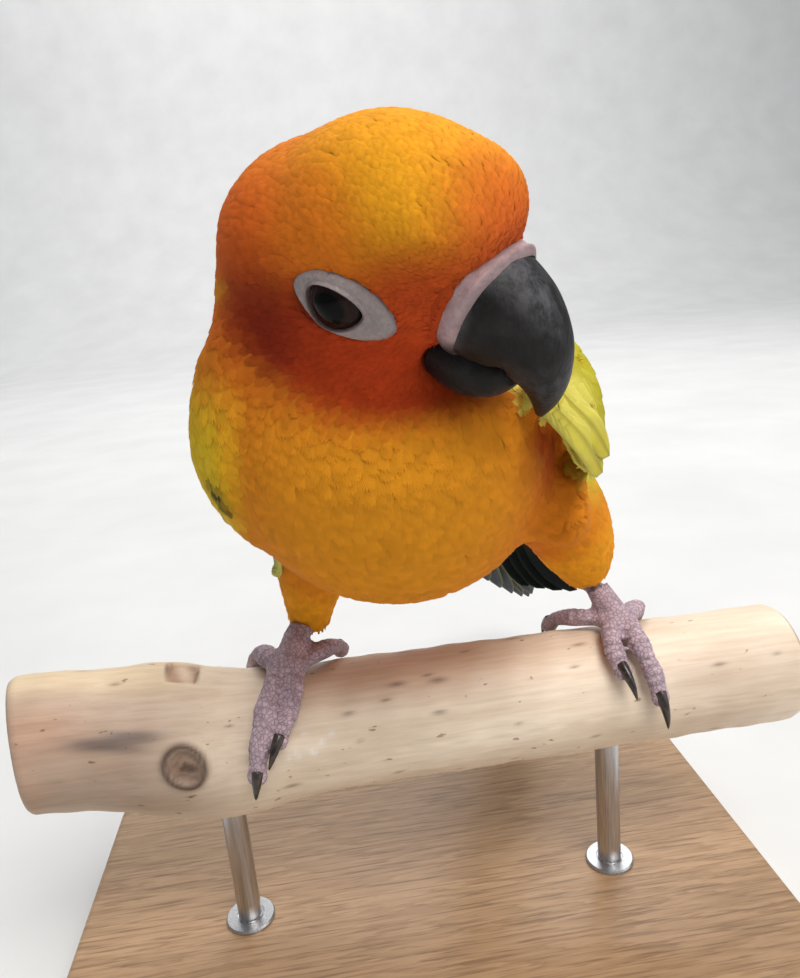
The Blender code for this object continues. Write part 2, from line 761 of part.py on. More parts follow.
def build_tail(body):
    """The long graduated tail feathers, fused at the tail's root."""
    root, left, dorsal, back, width, depth = body_axes(TAIL_ROOT)
    end = body_axes(len(BODY) - 1)[0]
    ahead = (end - root).normalized()
    across = (left - ahead * left.dot(ahead)).normalized()
    up = across.cross(ahead).normalized()
    if up.z < 0:
        up.negate()
    rings = []
    for along, wide, deep in TAIL_CORE:
        rings.append(ring(root + ahead * along, across, up, wide, deep, 16))
    pieces = [loft(rings)]
    for order, (shift, length) in enumerate(TAIL_COVERTS):
        start = root + across * shift + up * (4.4 - 0.10 * abs(shift) - 0.28 * order)

        def lie(t, start=start, length=length):
            return start + ahead * (length * t) - up * (3.4 * t)

        tilt = math.copysign(TAIL_COVERT_TILT, shift) if shift else 0.0
        pieces.append(vane(lie, lambda t: up, TAIL_COVERT_HALF, tilt, SHORT_VANE))
    for pair, length in enumerate(TAIL_VANES):
        for side in (-1, 1):
            shift = (pair + 0.5) * TAIL_STEP
            fan = math.radians(TAIL_FAN * (pair + 0.5))
            sink = -0.9 * pair
            direction = (ahead * math.cos(fan) + across * (side * math.sin(fan))).normalized()
            start = root + across * (side * shift * 0.55) + up * (sink * 0.8) + ahead * 4.0

            def path(t, start=start, direction=direction, length=length, sink=sink):
                sag = -3.0 * t * t
                return start + direction * (length * t) + up * (sag + sink * 0.15 * t)

            # the inner edge of each vane lies under the one inside it
            pieces.append(vane(path, lambda t: up, TAIL_VANE_HALF, 9.0 * side * (1 if pair else 0.4)))
    tail = fuse("tail", pieces, "tail")
    cut(tail, [body])
    return tail


def build_leg(side_name, body, wing, branch):
    """Feathered thigh, bare shank, toes and claws of one leg."""
    rows = [(*centre, radius) for centre, radius in LEGS[side_name]]
    stations = [k / 3 for k in range(3 * (len(rows) - 1) + 1)]
    places = [spline(rows, t) for t in stations]
    forward = Vector((0.0, -1.0, 0.0))
    thigh = make_object(
        f"thigh_{side_name}",
        loft(tube([Vector(p[:3]) for p in places], [p[3] for p in places], 14, up=forward)),
        "orange",
    )
    cut(thigh, [body])
    cut(thigh, [wing], 2 * GAP)

    ankle = Vector(rows[-1][:3])
    x, angle = PALMS[side_name]
    palm = on_branch(x, angle, PALM_RADIUS * PALM_FLATNESS)
    bend = ankle.lerp(palm, 0.55) + Vector((0.0, 1.2, 0.6))
    shank_path = [ankle + Vector((0.0, 0.0, 0.6)), ankle.lerp(bend, 0.6), bend, palm.lerp(bend, 0.35), palm]
    shank = loft(tube(shank_path, [TARSUS_RADIUS * share for share in TARSUS_SWELL], 10, up=forward))
    pad_sizes = (PALM_RADIUS, PALM_RADIUS * 0.95, PALM_RADIUS * PALM_FLATNESS)
    pad = ellipsoid(palm, pad_sizes, Matrix.Identity(4), 12, 8)
    shank = fuse(f"shank_{side_name}", [shank, pad], "foot")
    cut(shank, [branch, thigh])

    made = [thigh, shank]
    earlier = [shank]
    for toe_name, (route, thick, thin, joints) in TOES[side_name].items():
        toe, claw = build_toe(f"{side_name}_{toe_name}", route, thick, thin, joints, palm)
        cut(toe, earlier)
        earlier.append(toe)
        cut(claw, [toe])
        made += [toe, claw]
    return made


def build_toe(name, route, thick, thin, joints, palm):
    """One toe, bent round the branch with a pad at each joint, and its curved claw."""
    rows = [(*on_branch(x, angle, thick * 1.02 + GAP), thick) for x, angle in route]
    inner = palm.lerp(Vector(rows[0][:3]), 0.35)
    rows.insert(0, (*inner, thick * 1.05))
    count = 9
    path, radii = [], []
    for k in range(count):
        t = (len(rows) - 1) * k / (count - 1)
        share = k / (count - 1)
        pad = 1 + 0.10 * math.cos(2 * math.pi * joints * share)
        path.append(Vector(spline(rows, t)[:3]))
        radii.append((thick + (thin - thick) * share) * pad)
    axis_height = branch_axis(route[-1][0])

    def outward(place):
        return (place - Vector((place.x, 0.0, axis_height))).normalized()

    toe = make_object(f"toe_{name}", loft(tube(path, radii, 8, 0.9, outward)), "foot")

    tip, before = path[-1], path[-2]
    ahead = (tip - before).normalized()
    out = outward(tip)
    steps = 5
    claw_path, claw_radii = [], []
    place, heading = tip + out * 0.7 - ahead * 0.4, (ahead + out * 0.55).normalized()
    turn = Matrix.Rotation(math.radians(-15.0), 3, out.cross(ahead).normalized())
    for k in range(steps):
        share = k / (steps - 1)
        claw_path.append(place.copy())
        claw_radii.append(CLAW_RADIUS * (1 - share) ** 0.7 + 0.16)
        place = place + heading * (CLAW_ARC / (steps - 1))
        heading = turn.inverted() @ heading
    claw = make_object(f"claw_{name}", loft(tube(claw_path, claw_radii, 6, 1.15, out, BLUNT_END)), "bill")
    return toe, claw


def build_stand(branch):
    """A flat board with two rods that stand on it and hold the branch."""
    width, depth, height = BASE_SIZE
    bm = bmesh.new()
    bmesh.ops.create_cube(bm, size=1.0)
    bmesh.ops.scale(bm, vec=(width, depth, height), verts=bm.verts)
    bmesh.ops.translate(bm, vec=(0.0, 0.0, height / 2 - BRANCH_HEIGHT), verts=bm.verts)
    upper = [e for e in bm.edges if all(v.co.z > height / 2 - BRANCH_HEIGHT for v in e.verts)]
    upright = [e for e in bm.edges if abs(e.verts[0].co.z - e.verts[1].co.z) > 1.0]
    bmesh.ops.bevel(bm, geom=upper + upright, offset=BASE_EDGE, segments=3, profile=0.5, affect="EDGES")
    make_object("stand_base", bm, "board")
    bottom = height + GAP - BRANCH_HEIGHT
    for number, x in enumerate(ROD_X, 1):
        top = on_branch(x, -90.0, -4.0).z
        bm = bmesh.new()
        bmesh.ops.create_cone(
            bm,
            cap_ends=True,
            segments=20,
            radius1=ROD_RADIUS,
            radius2=ROD_RADIUS,
            depth=top - bottom,
            matrix=Matrix.Translation((x, 0.0, (top + bottom) / 2)),
        )
        rod = make_object(f"stand_rod_{number}", bm, "steel")
        cut(rod, [branch])


def clear_scene():
    """Removes what the scene starts with."""
    for obj in list(bpy.data.objects):
        bpy.data.objects.remove(obj)


def shade():
    """Shades every piece smooth but for its true edges."""
    for obj in BIRD.objects:
        obj.data.shade_smooth()
        obj.data.set_sharp_from_angle(angle=SHARP_ANGLE)


def build():
    """The whole bird, branch and stand."""
    branch = build_branch()
    flesh = build_flesh()

    head_parts = []
    sockets = []
    for side_name, side in (("right", -1), ("left", 1)):
        ball, _, socket = build_eye(side_name, side)
        head_parts += [ball, socket]
        sockets.append(socket)
    upper = bill_part("bill_upper", UPPER_BILL, "bill", 2.3)
    lower = bill_part("bill_lower", LOWER_BILL, "bill", 2.2)
    cere = bill_part("cere", CERE, "skin", 2.3)
    band = bill_part("band", CERE, "skin", 2.3)
    cut(lower, [upper])
    cut(cere, [upper, lower])
    for side in (-1, 1):
        forward, out, up, radius = NOSTRIL
        hole = ellipsoid(Vector((forward, side * out, up)), (radius, radius, radius), head_matrix(), 12, 8)
        hole = make_object("hole", hole)
        cut(cere, [hole], 0.0)
        bpy.data.objects.remove(hole)

    neck_at = body_axes(NECK_CUT)
    rump_at = body_axes(RUMP_CUT)
    neck_plane = point(*neck_at[0])
    rump_plane = point(*rump_at[0])
    above_neck = half_of(flesh, "above", neck_plane, -neck_at[3], "crown")
    below_neck = half_of(flesh, "below", neck_plane, neck_at[3], "orange")
    torso = half_of(below_neck, "torso", rump_plane, -rump_at[3], "orange")
    rump = half_of(below_neck, "rump", rump_plane, rump_at[3], "orange")
    throat_plane = point(*in_head(-6.0, 0.0, -9.0))
    lean = head_matrix().to_3x3() @ Vector((0.35, 0.0, 1.0))
    head = half_of(above_neck, "head", throat_plane, lean, "crown")
    neck = half_of(above_neck, "neck", throat_plane, -lean, "orange")
    for scrap in (above_neck, below_neck):
        bpy.data.objects.remove(scrap)
    cut(head, [*head_parts, upper, lower, band])
    cut(neck, [lower])
    for scrap in (*sockets, band):
        bpy.data.objects.remove(scrap)

    for side_name, side in (("right", -1), ("left", 1)):
        wing = build_wing(side_name, side, flesh)
        build_leg(side_name, flesh, wing, branch)
    build_tail(flesh)
    bpy.data.objects.remove(flesh)
    build_stand(branch)


lowest_tail = BODY[-1][0][2] - 3.0
BRANCH_HEIGHT = BASE_SIZE[2] + TAIL_CLEARANCE - lowest_tail
clear_scene()
BIRD = collect("sun_conure")
build()
shade()
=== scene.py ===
"""A life-size sun conure gripping a short cut branch, as a still model on a display stand.

Lengths are in millimetres round the middle of the branch's axis, with +X to the bird's left,
-Y in front of it and +Z up, and `to_world` turns them into metres above the floor.
"""

import json
import math
from itertools import product

import bmesh
import bpy
import numpy as np
from mathutils import Matrix, Vector
from mathutils.bvhtree import BVHTree

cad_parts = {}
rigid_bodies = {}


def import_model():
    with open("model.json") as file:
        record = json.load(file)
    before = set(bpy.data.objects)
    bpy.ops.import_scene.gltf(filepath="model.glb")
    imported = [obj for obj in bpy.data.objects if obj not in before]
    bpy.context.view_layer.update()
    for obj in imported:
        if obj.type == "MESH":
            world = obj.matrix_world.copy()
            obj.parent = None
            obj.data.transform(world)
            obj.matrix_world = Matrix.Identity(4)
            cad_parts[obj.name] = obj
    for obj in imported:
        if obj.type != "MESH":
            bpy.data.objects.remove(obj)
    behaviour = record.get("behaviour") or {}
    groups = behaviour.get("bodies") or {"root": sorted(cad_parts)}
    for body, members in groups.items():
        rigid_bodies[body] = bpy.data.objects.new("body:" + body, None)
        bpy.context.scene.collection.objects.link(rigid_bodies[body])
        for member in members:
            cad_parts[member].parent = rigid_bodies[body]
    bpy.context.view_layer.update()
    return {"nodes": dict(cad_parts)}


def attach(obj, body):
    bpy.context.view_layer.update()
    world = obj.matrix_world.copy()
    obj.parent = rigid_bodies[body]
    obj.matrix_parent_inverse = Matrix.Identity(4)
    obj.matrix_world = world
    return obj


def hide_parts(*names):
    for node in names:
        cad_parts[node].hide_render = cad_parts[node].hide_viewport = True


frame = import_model()
nodes = frame["nodes"]

# Skin

# The bird's skin: one thin living hide over head, neck, body, thighs and folded arms.
# It lies a coat's depth inside the bird's outline and every small feather is rooted in it.

MM = 0.001  # metres in a millimetre
BRANCH_HEIGHT = 55.5  # of the branch's axis over the floor
COAT_DEPTH = 0.8  # how far the skin lies inside the solids

# stations from neck to tail: centre, half width, half depth, turn of the left-right axis
BODY = np.array(
    (
        (1.5, -34.0, 85.0, 12.5, 9.0, 4.0),
        (-1.8, -29.5, 77.5, 22.0, 13.5, 5.0),
        (-1.0, -24.0, 66.0, 27.5, 23.5, 7.0),
        (1.5, -10.0, 57.8, 28.5, 28.0, 10.0),
        (6.0, 5.5, 53.0, 26.0, 25.0, 14.0),
        (10.5, 20.0, 49.5, 18.5, 18.0, 18.0),
        (15.5, 33.0, 44.0, 11.0, 10.0, 22.0),
        (24.0, 53.0, 29.0, 8.5, 6.0, 24.0),
        (38.0, 84.5, 4.5, 6.5, 4.0, 24.0),
        (58.0, 131.0, -31.5, 5.0, 3.0, 24.0),
    )
)
NEAR = 0.05  # stations ahead and behind from which the body's direction is taken


def spline(rows, t):
    """Catmull-Rom through the rows at stations t, a number or an array."""
    rows = np.asarray(rows, float)
    t = np.asarray(t, float)
    last = len(rows) - 1
    i = np.clip(np.floor(t).astype(int), 0, last - 1)
    f = (t - i)[..., None]
    p, q = rows[i], rows[i + 1]
    before, after = rows[np.maximum(i - 1, 0)], rows[np.minimum(i + 2, last)]
    bend = 2 * before - 5 * p + 4 * q - after
    return 0.5 * (2 * p + (q - before) * f + bend * f**2 + (3 * p - before - 3 * q + after) * f**3)


def unit(v):
    """Rows of an array scaled to length 1."""
    return v / np.maximum(np.linalg.norm(v, axis=-1, keepdims=True), 1e-9)


def body_axes(t):
    """Centre, left, dorsal and backward directions, half width and half depth at stations t."""
    t = np.asarray(t, float)
    row = spline(BODY, t)
    after = spline(BODY, np.minimum(t + NEAR, len(BODY) - 1.0))[..., :3]
    back = unit(after - spline(BODY, np.maximum(t - NEAR, 0.0))[..., :3])
    turn = np.radians(row[..., 5])
    left = np.stack((np.cos(turn), -np.sin(turn), np.zeros_like(turn)), -1)
    left = unit(left - back * np.sum(left * back, -1, keepdims=True))
    return row[..., :3], left, unit(np.cross(left, back)), back, row[..., 3:4], row[..., 4:5]


def on_body(t, angle, off, side):
    """Places off the body's outline at angles above its side, and the outward directions."""
    centre, left, dorsal, _, width, depth = body_axes(t)
    a = np.radians(np.asarray(angle, float))[..., None]
    off = np.asarray(off, float)[..., None]
    outward = unit(left * (side * np.cos(a) / width) + dorsal * (np.sin(a) / depth))
    place = centre + left * (side * width * np.cos(a)) + dorsal * (depth * np.sin(a))
    return place + outward * off, outward


def to_world(places):
    """An array of places in millimetres as metres above the floor."""
    return (np.asarray(places, float) + np.array((0.0, 0.0, BRANCH_HEIGHT))) * MM


def around(count):
    """Even steps round a circle, in radians."""
    return np.linspace(0, 2 * np.pi, count + 1)[:-1]


def loft_bm(rings, ends=(True, True)):
    """A bmesh skin through rings of equal length, closed at the ends that are asked for."""
    bm = bmesh.new()
    rows = [[bm.verts.new(p) for p in ring] for ring in rings]
    count = len(rows[0])
    for first, second in zip(rows, rows[1:]):
        for i in range(count):
            j = (i + 1) % count
            bm.faces.new((first[i], first[j], second[j], second[i]))
    if ends[0]:
        bm.faces.new(reversed(rows[0]))
    if ends[1]:
        bm.faces.new(rows[-1])
    bmesh.ops.recalc_face_normals(bm, faces=bm.faces)
    return bm


def add_piece(name, bm, finish):
    """A smooth object at the origin from a bmesh in metres."""
    mesh = bpy.data.meshes.new(name)
    bm.to_mesh(mesh)
    bm.free()
    obj = bpy.data.objects.new(name, mesh)
    bpy.context.scene.collection.objects.link(obj)
    if finish:
        mesh.materials.append(finish)
    mesh.shade_smooth()
    return obj


def bake_modifiers(obj):
    """Replaces an object's mesh by its evaluated one."""
    graph = bpy.context.evaluated_depsgraph_get()
    mesh = bpy.data.meshes.new_from_object(obj.evaluated_get(graph))
    obj.modifiers.clear()
    old = obj.data
    obj.data = mesh
    bpy.data.meshes.remove(old)


def thicken(bm, far):
    """Moves a bmesh's corners outwards by millimetres."""
    moved = [v.co + v.normal * far * MM for v in bm.verts]
    for vert, place in zip(bm.verts, moved):
        vert.co = place


def ease_out(obj, passes):
    """Evens out a mesh."""
    relax = obj.modifiers.new("relax", "SMOOTH")
    relax.factor, relax.iterations = 0.5, passes
    bake_modifiers(obj)


def make_one(obj, voxel, passes):
    """Joins an object's overlapping bodies into one closed skin and relaxes it."""
    remesh = obj.modifiers.new("remesh", "REMESH")
    remesh.mode, remesh.voxel_size = "VOXEL", voxel * MM
    ease_out(obj, passes)


# folded arm under each wing: station, lower and upper edge (degrees above the side), thickness,
# and how far the lower edge stands off the breast
ARM = {
    -1: (
        (0.7, -20.0, 10.0, 2.4, 0.6),
        (1.1, -26.0, 26.0, 4.2, 1.2),
        (1.6, -25.0, 40.0, 5.2, 1.2),
        (2.4, -23.0, 48.0, 5.2, 0.8),
        (3.1, -22.0, 56.0, 4.8, 0.4),
        (3.8, -20.0, 60.0, 3.6, 0.0),
        (4.5, -6.0, 52.0, 1.8, 0.0),
    ),
    1: (
        (0.45, -26.0, -4.0, 2.4, 2.8),
        (0.9, -29.0, 26.0, 3.6, 3.0),
        (1.3, -32.0, 36.0, 4.6, 2.4),
        (1.8, -36.0, 44.0, 5.4, 2.2),
        (2.1, -25.0, 48.0, 5.8, 3.2),
        (2.5, -17.0, 50.0, 5.6, 2.0),
        (3.1, -16.0, 56.0, 5.0, 1.0),
        (3.8, -16.0, 60.0, 3.8, 0.4),
        (4.5, -6.0, 52.0, 1.8, 0.0),
    ),
}
# the arms are first made fuller, in millimetres and degrees, as the skin is drawn in from them
ARM_SWELL = (1.4, 5.5)
ARM_SIDES, ARM_STEP = 32, 0.12  # sides of a ring, and stations from one ring to the next
# how far each wing stands off the body, in millimetres, and is turned up round it, in degrees
WING_SPREAD = {-1: -1.9, 1: 1.4}
WING_DROP = {-1: -8.0, 1: 5.0}


def wing_off(t, side, lift):
    """Height of a folded wing off the body at stations t."""
    over_tail = 2.4 * np.clip((t - 5.6) / 1.2, 0.0, 1.0)
    return lift + over_tail + WING_SPREAD[side] * np.maximum(0.0, 1 - np.abs(t - 2.0) / 4.0)


def wing_hang(t, side):
    """Degrees that a folded wing is turned up round the body at stations t."""
    return WING_DROP[side] * np.maximum(0.0, 1 - t / 7.0)


def on_wing(t, angle, lift, side):
    """Places on a folded wing, and the outward directions."""
    t = np.asarray(t, float)
    return on_body(t, angle + wing_hang(t, side), wing_off(t, side, lift), side)


def arm_form(side):
    """The folded arm as a bmesh in metres, its lower edge a free fold over the breast."""
    rows = np.array(ARM[side])
    turn = around(ARM_SIDES)
    rings = []
    for t in np.arange(rows[0, 0], rows[-1, 0] + 0.01, ARM_STEP):
        _, low, high, thick, lift = spline(rows, np.interp(t, rows[:, 0], np.arange(len(rows))))
        angle = (low + high) / 2 + ((high - low) / 2 + ARM_SWELL[1]) * np.cos(turn)
        edge = np.clip(-np.cos(turn), 0, 1) ** 2
        half = thick * 0.5 * (1 - 0.45 * edge) + ARM_SWELL[0]
        off = thick * 0.5 + half * np.sin(turn) - COAT_DEPTH + lift * edge
        rings.append(to_world(on_wing(np.full(ARM_SIDES, t), angle, off, side)[0]))
    return loft_bm(rings)


# the solids that the skin replaces, and others that it is shaped over
FLESH = ("head", "neck", "torso", "rump", "thigh_left", "thigh_right")
UNDER = ("cere", "eye_left", "eye_right", "eye_ring_left", "eye_ring_right")
# the solids are made fuller before they are joined at this voxel size, then drawn in again
SWELL, SKIN_VOXEL = 0.5, 0.9
# middle line and radius of each thigh, from hip to knee
LEGS = {
    -1: (
        (-7.0, 0.0, 46.0, 12.0),
        (-14.5, 2.0, 36.0, 8.6),
        (-16.6, 6.6, 26.5, 6.0),
        (-17.4, 8.0, 21.5, 4.6),
    ),
    1: (
        (22.0, -2.0, 50.0, 14.0),
        (32.6, 0.0, 41.0, 10.6),
        (38.4, 4.2, 30.5, 8.0),
        (40.8, 6.6, 23.6, 5.2),
    ),
}
# how far the loose feathered cuff hangs below each thigh's end, and how much fuller it is
CUFF_DROP, CUFF_SWELL = {-1: 3.4, 1: 1.8}, 1.1


def cuff_form(side):
    """The loose feathered end of a thigh as a bmesh in metres."""
    share = np.linspace(0.8, 3.0, 18)
    line = spline(np.array(LEGS[side]), share)
    fuller = CUFF_SWELL * np.clip((share - 0.8) / 1.4, 0.0, 1.0)
    way = unit(np.gradient(line[:, :3], axis=0))
    across = unit(np.cross(way, (0.0, 1.0, 0.0)))
    ahead = np.cross(across, way)
    turn = around(24)[:, None]
    sections = list(zip(line[:, :3], across, ahead, line[:, 3] + fuller))
    for more, narrow in ((0.6, 0.97), (1.0, 0.85)):
        low = line[-1, :3] + way[-1] * (CUFF_DROP[side] * more)
        sections.append((low, across[-1], ahead[-1], (line[-1, 3] + CUFF_SWELL) * narrow))
    rings = [to_world(at + size * (x * np.cos(turn) + y * np.sin(turn))) for at, x, y, size in sections]
    return loft_bm(rings)


flesh = bmesh.new()
for node in FLESH + UNDER:
    flesh.from_mesh(nodes[node].data)
bmesh.ops.remove_doubles(flesh, verts=flesh.verts, dist=1e-6)
bmesh.ops.recalc_face_normals(flesh, faces=flesh.faces)
flesh.normal_update()
thicken(flesh, SWELL)
# soft bodies under the skin: centre, way of the length, outward way, half length, width, thickness
FILLS = {
    "flank": ((28.2, -19.0, 46.0), (0.0, 1.0, 0.0), (1.0, 0.0, 0.0), (11.0, 8.0, 6.2)),
    "wing_lip": ((23.1, -39.5, 67.9), (5.7, -4.5, -7.3), (0.2, -0.92, 0.33), (5.8, 3.1, 2.3)),
    "wing_end": ((-22.0, -19.0, 50.0), (0.0, 1.0, 0.0), (1.0, 0.0, 0.0), (6.0, 5.6, 5.4)),
    "nape": ((-16.5, -27.5, 85.5), (0.0, 0.0, 1.0), (1.0, 0.0, 0.0), (9.0, 7.0, 8.3)),
    "crown": ((-4.0, -35.0, 99.0), (0.0, 1.0, 0.0), (0.0, 0.0, 1.0), (9.0, 8.5, 8.9)),
}


def fill_axes(name):
    """The length, width and outward directions of a soft body."""
    _, length, outward, _ = FILLS[name]
    length = unit(np.array(length))
    outward = unit(np.array(outward) - length * length.dot(outward))
    return np.array((length, np.cross(outward, length), outward))


def fill_reach(name, places):
    """How far out places lie in a soft body, 1 at its surface."""
    away = (places - np.array(FILLS[name][0])) @ fill_axes(name).T
    return np.linalg.norm(away / FILLS[name][3], axis=1)


for name, (centre, _, _, size) in FILLS.items():
    turned = Matrix((fill_axes(name).T * size).tolist()).to_4x4()
    turned = Matrix.Translation(to_world(centre)) @ turned
    bmesh.ops.create_icosphere(flesh, subdivisions=4, radius=MM, matrix=turned)
arm_trees = {}
for side in (-1, 1):
    for form in (arm_form(side), cuff_form(side)):
        arm_trees.setdefault(side, BVHTree.FromBMesh(form))
        scratch = bpy.data.meshes.new("form")
        form.to_mesh(scratch)
        form.free()
        flesh.from_mesh(scratch)
        bpy.data.meshes.remove(scratch)
skin = add_piece("skin", flesh, None)
make_one(skin, SKIN_VOXEL, 6)
shrink = skin.modifiers.new("shrink", "DISPLACE")
shrink.mid_level, shrink.strength = 0.0, -(SWELL + COAT_DEPTH) * MM
ease_out(skin, 3)
skin.data.shade_smooth()

# Small body feathers

# The coat: thousands of small soft contour feathers, each rooted in the skin and lying over
# the roots of those behind it, tiny and hair-like on the face and broader on breast and back.

# the head's middle, and its turns from straight ahead, in degrees
HEAD_AT = (4.6, -40.3, 89.2)
HEAD_YAW, HEAD_PITCH, HEAD_ROLL = 40.5, 15.0, -20.5


def head_axes():
    """The head's forward, left and up directions as the rows of a 3 by 3 array."""
    yaw, pitch, roll = (math.radians(a) for a in (HEAD_YAW, HEAD_PITCH, HEAD_ROLL))
    level = np.array((math.sin(yaw), -math.cos(yaw), 0.0))
    left = np.array((math.cos(yaw), math.sin(yaw), 0.0))
    up = np.array((0.0, 0.0, 1.0))
    forward = level * math.cos(pitch) - up * math.sin(pitch)
    up = level * math.sin(pitch) + up * math.cos(pitch)
    c, s = math.cos(roll), math.sin(roll)
    return np.array((forward, left * c - up * s, left * s + up * c))


HEAD = head_axes()


def from_head(places):
    """Places given as forward, left and up in the head, in millimetres round the branch."""
    return np.asarray(places, float) @ HEAD + np.array(HEAD_AT)


def to_head(places):
    """The same the other way round."""
    return (np.asarray(places, float) - np.array(HEAD_AT)) @ HEAD.T


def from_world(places):
    """An array of places in metres as millimetres round the branch's middle."""
    return np.asarray(places, float) / MM - np.array((0.0, 0.0, BRANCH_HEIGHT))


def corners_of(obj):
    """A mesh's points in millimetres round the branch's middle."""
    co = np.empty(len(obj.data.vertices) * 3)
    obj.data.vertices.foreach_get("co", co)
    return from_world(co.reshape(-1, 3))


# marks on the coat: where, over what reach, and the colour there (linear red, green, blue)
HEAD_MARKS = (
    ((-3.0, 0.0, 18.0), 9.0, (0.86, 0.36, 0.014)),
    ((6.0, 3.0, 14.0), 7.0, (0.86, 0.34, 0.014)),
    ((6.0, -5.0, 12.0), 6.0, (0.88, 0.39, 0.014)),
    ((13.0, 0.0, 9.0), 5.0, (0.66, 0.13, 0.020)),
    ((13.0, 0.0, 3.0), 4.0, (0.55, 0.075, 0.016)),
    ((-3.0, 13.0, 9.0), 6.0, (0.78, 0.20, 0.014)),
    ((-3.0, -13.0, 9.0), 6.0, (0.78, 0.20, 0.014)),
    ((-16.0, 0.0, 14.0), 8.0, (0.76, 0.22, 0.014)),
    ((-18.0, -14.0, 8.0), 8.0, (0.66, 0.115, 0.012)),
    ((-18.0, 14.0, 8.0), 8.0, (0.66, 0.115, 0.012)),
    ((-30.0, 0.0, 2.0), 12.0, (0.66, 0.16, 0.012)),
    ((10.0, 9.0, -1.0), 5.0, (0.52, 0.066, 0.012)),
    ((10.0, -9.0, -1.0), 5.0, (0.52, 0.066, 0.012)),
    ((0.0, 13.0, -9.0), 7.0, (0.47, 0.048, 0.008)),
    ((0.0, -13.0, -9.0), 7.0, (0.47, 0.048, 0.008)),
    ((-12.0, 16.0, -4.0), 7.0, (0.20, 0.015, 0.005)),
    ((-12.0, -16.0, -4.0), 7.0, (0.20, 0.015, 0.005)),
    ((-4.0, 11.0, -17.0), 6.0, (0.54, 0.060, 0.010)),
    ((-4.0, -11.0, -17.0), 6.0, (0.54, 0.060, 0.010)),
    ((2.0, 0.0, -20.0), 7.5, (0.50, 0.055, 0.010)),
)
# station, angle above the side (either side alike), reach in stations and degrees, colour
BODY_MARKS = (
    (0.75, -90.0, 0.45, 60.0, (0.54, 0.080, 0.012)),
    (1.3, -90.0, 0.5, 60.0, (0.84, 0.33, 0.014)),
    (1.2, 0.0, 0.6, 45.0, (0.62, 0.13, 0.012)),
    (1.0, 90.0, 0.7, 60.0, (0.72, 0.24, 0.012)),
    (2.1, -90.0, 0.6, 60.0, (0.72, 0.28, 0.014)),
    (2.6, -20.0, 0.6, 30.0, (0.62, 0.13, 0.010)),
    (3.2, -90.0, 0.7, 60.0, (0.70, 0.25, 0.014)),
    (4.2, -80.0, 0.8, 60.0, (0.66, 0.15, 0.012)),
    (5.4, -90.0, 0.9, 60.0, (0.66, 0.17, 0.012)),
    (1.5, 55.0, 0.5, 25.0, (0.80, 0.50, 0.020)),
    (2.4, 80.0, 1.2, 60.0, (0.84, 0.46, 0.016)),
    (4.0, 80.0, 1.2, 60.0, (0.80, 0.42, 0.016)),
    (5.6, 80.0, 0.9, 60.0, (0.56, 0.38, 0.020)),
)
# the thighs, the left wing's pale front fold with its angle and reach, and the two arms
THIGH_MARK = (0.86, 0.34, 0.014)
FOLD_MARK = (0.76, 0.66, 0.13)
FOLD_AT, FOLD_WIDE = -30.0, 12.0
ARM_MARKS = {-1: (0.74, 0.50, 0.020), 1: (0.46, 0.40, 0.016)}
# single places: where, reach, colour and strength
PLACE_MARKS = (
    ((-27.6, -30.8, 61.6), 2.1, (0.02, 0.035, 0.010), 1.0),
    ((-26.6, -29.6, 57.6), 2.0, (0.02, 0.035, 0.010), 1.0),
    ((-25.8, -19.0, 49.0), 4.5, (0.72, 0.66, 0.12), 0.8),
    ((28.2, -19.0, 46.0), 9.0, (0.80, 0.34, 0.014), 0.6),
)
# painted shadow in the hollow under the left wing's front fold: where and over what reach
FOLD_SHADOW_MARKS = (((20.5, -36.0, 64.5), 3.4), ((23.3, -33.0, 60.5), 4.4), ((25.5, -30.5, 56.5), 4.4))
FOLD_SHADOW_COLOUR = (0.36, 0.055, 0.006)
# the left eye's lids: middle in the head, turns forward and up in degrees, half length and height
EYE_AT = (-0.8, 14.0, -0.8)
EYE_TURN = (14.0, 4.0)
LID_RING = (7.15, 3.95)
# stations over which the arms' colour comes in and goes, and its reach off their form
ARM_START, ARM_END = {-1: (0.8, 1.5), 1: (0.35, 0.7)}, (4.6, 5.4)
ARM_REACH = (1.9, 2.8)

# the trunk's middle line in close steps, for the station nearest to a place
STATIONS = np.arange(0.0, 6.41, 0.02)
SPINE = body_axes(STATIONS)


def body_place(places):
    """Station and angle above the side of places on the body, with the side they are on."""
    station = np.empty(len(places))
    for start in range(0, len(places), 2000):
        away = places[start:start + 2000, None, :] - SPINE[0][None]
        station[start:start + 2000] = STATIONS[np.argmin(np.sum(away * away, -1), 1)]
    centre, left, dorsal, _, width, depth = body_axes(station)
    arm = places - centre
    across = np.sum(arm * left, -1) / width[:, 0]
    above = np.sum(arm * dorsal, -1) / depth[:, 0]
    side = np.where(across < 0, -1, 1)
    return station, np.degrees(np.arctan2(above, np.abs(across))), side


def ease_step(low, high, x):
    """0 below low, 1 above high and smooth between."""
    f = np.clip((x - low) / (high - low), 0.0, 1.0)
    return f * f * (3 - 2 * f)


def headness(places):
    """1 on the head and 0 on the body."""
    there = to_head(places)
    reach = np.linalg.norm((there - (-6.0, 0.0, -1.0)) / (1.15, 1.0, 1.05), axis=1)
    return 1 - ease_step(18.0, 26.0, reach)


def legness(places):
    """How far along a thigh each place is, 0 on the body, and the way down that thigh."""
    share = np.zeros(len(places))
    down = np.zeros_like(places)
    for rows in LEGS.values():
        line = spline(np.array(rows), np.linspace(0.5, 3.0, 30))
        away = np.linalg.norm(places[:, None, :] - line[None, :, :3], axis=-1) / line[None, :, 3]
        near = np.argmin(away, 1)
        here = ease_step(2.0, 12.0, near) * (1 - ease_step(1.15, 1.45, away.min(1)))
        way = unit(np.gradient(line[:, :3], axis=0))
        better = here > share
        share = np.where(better, here, share)
        down[better] = way[near[better]]
    return share, down


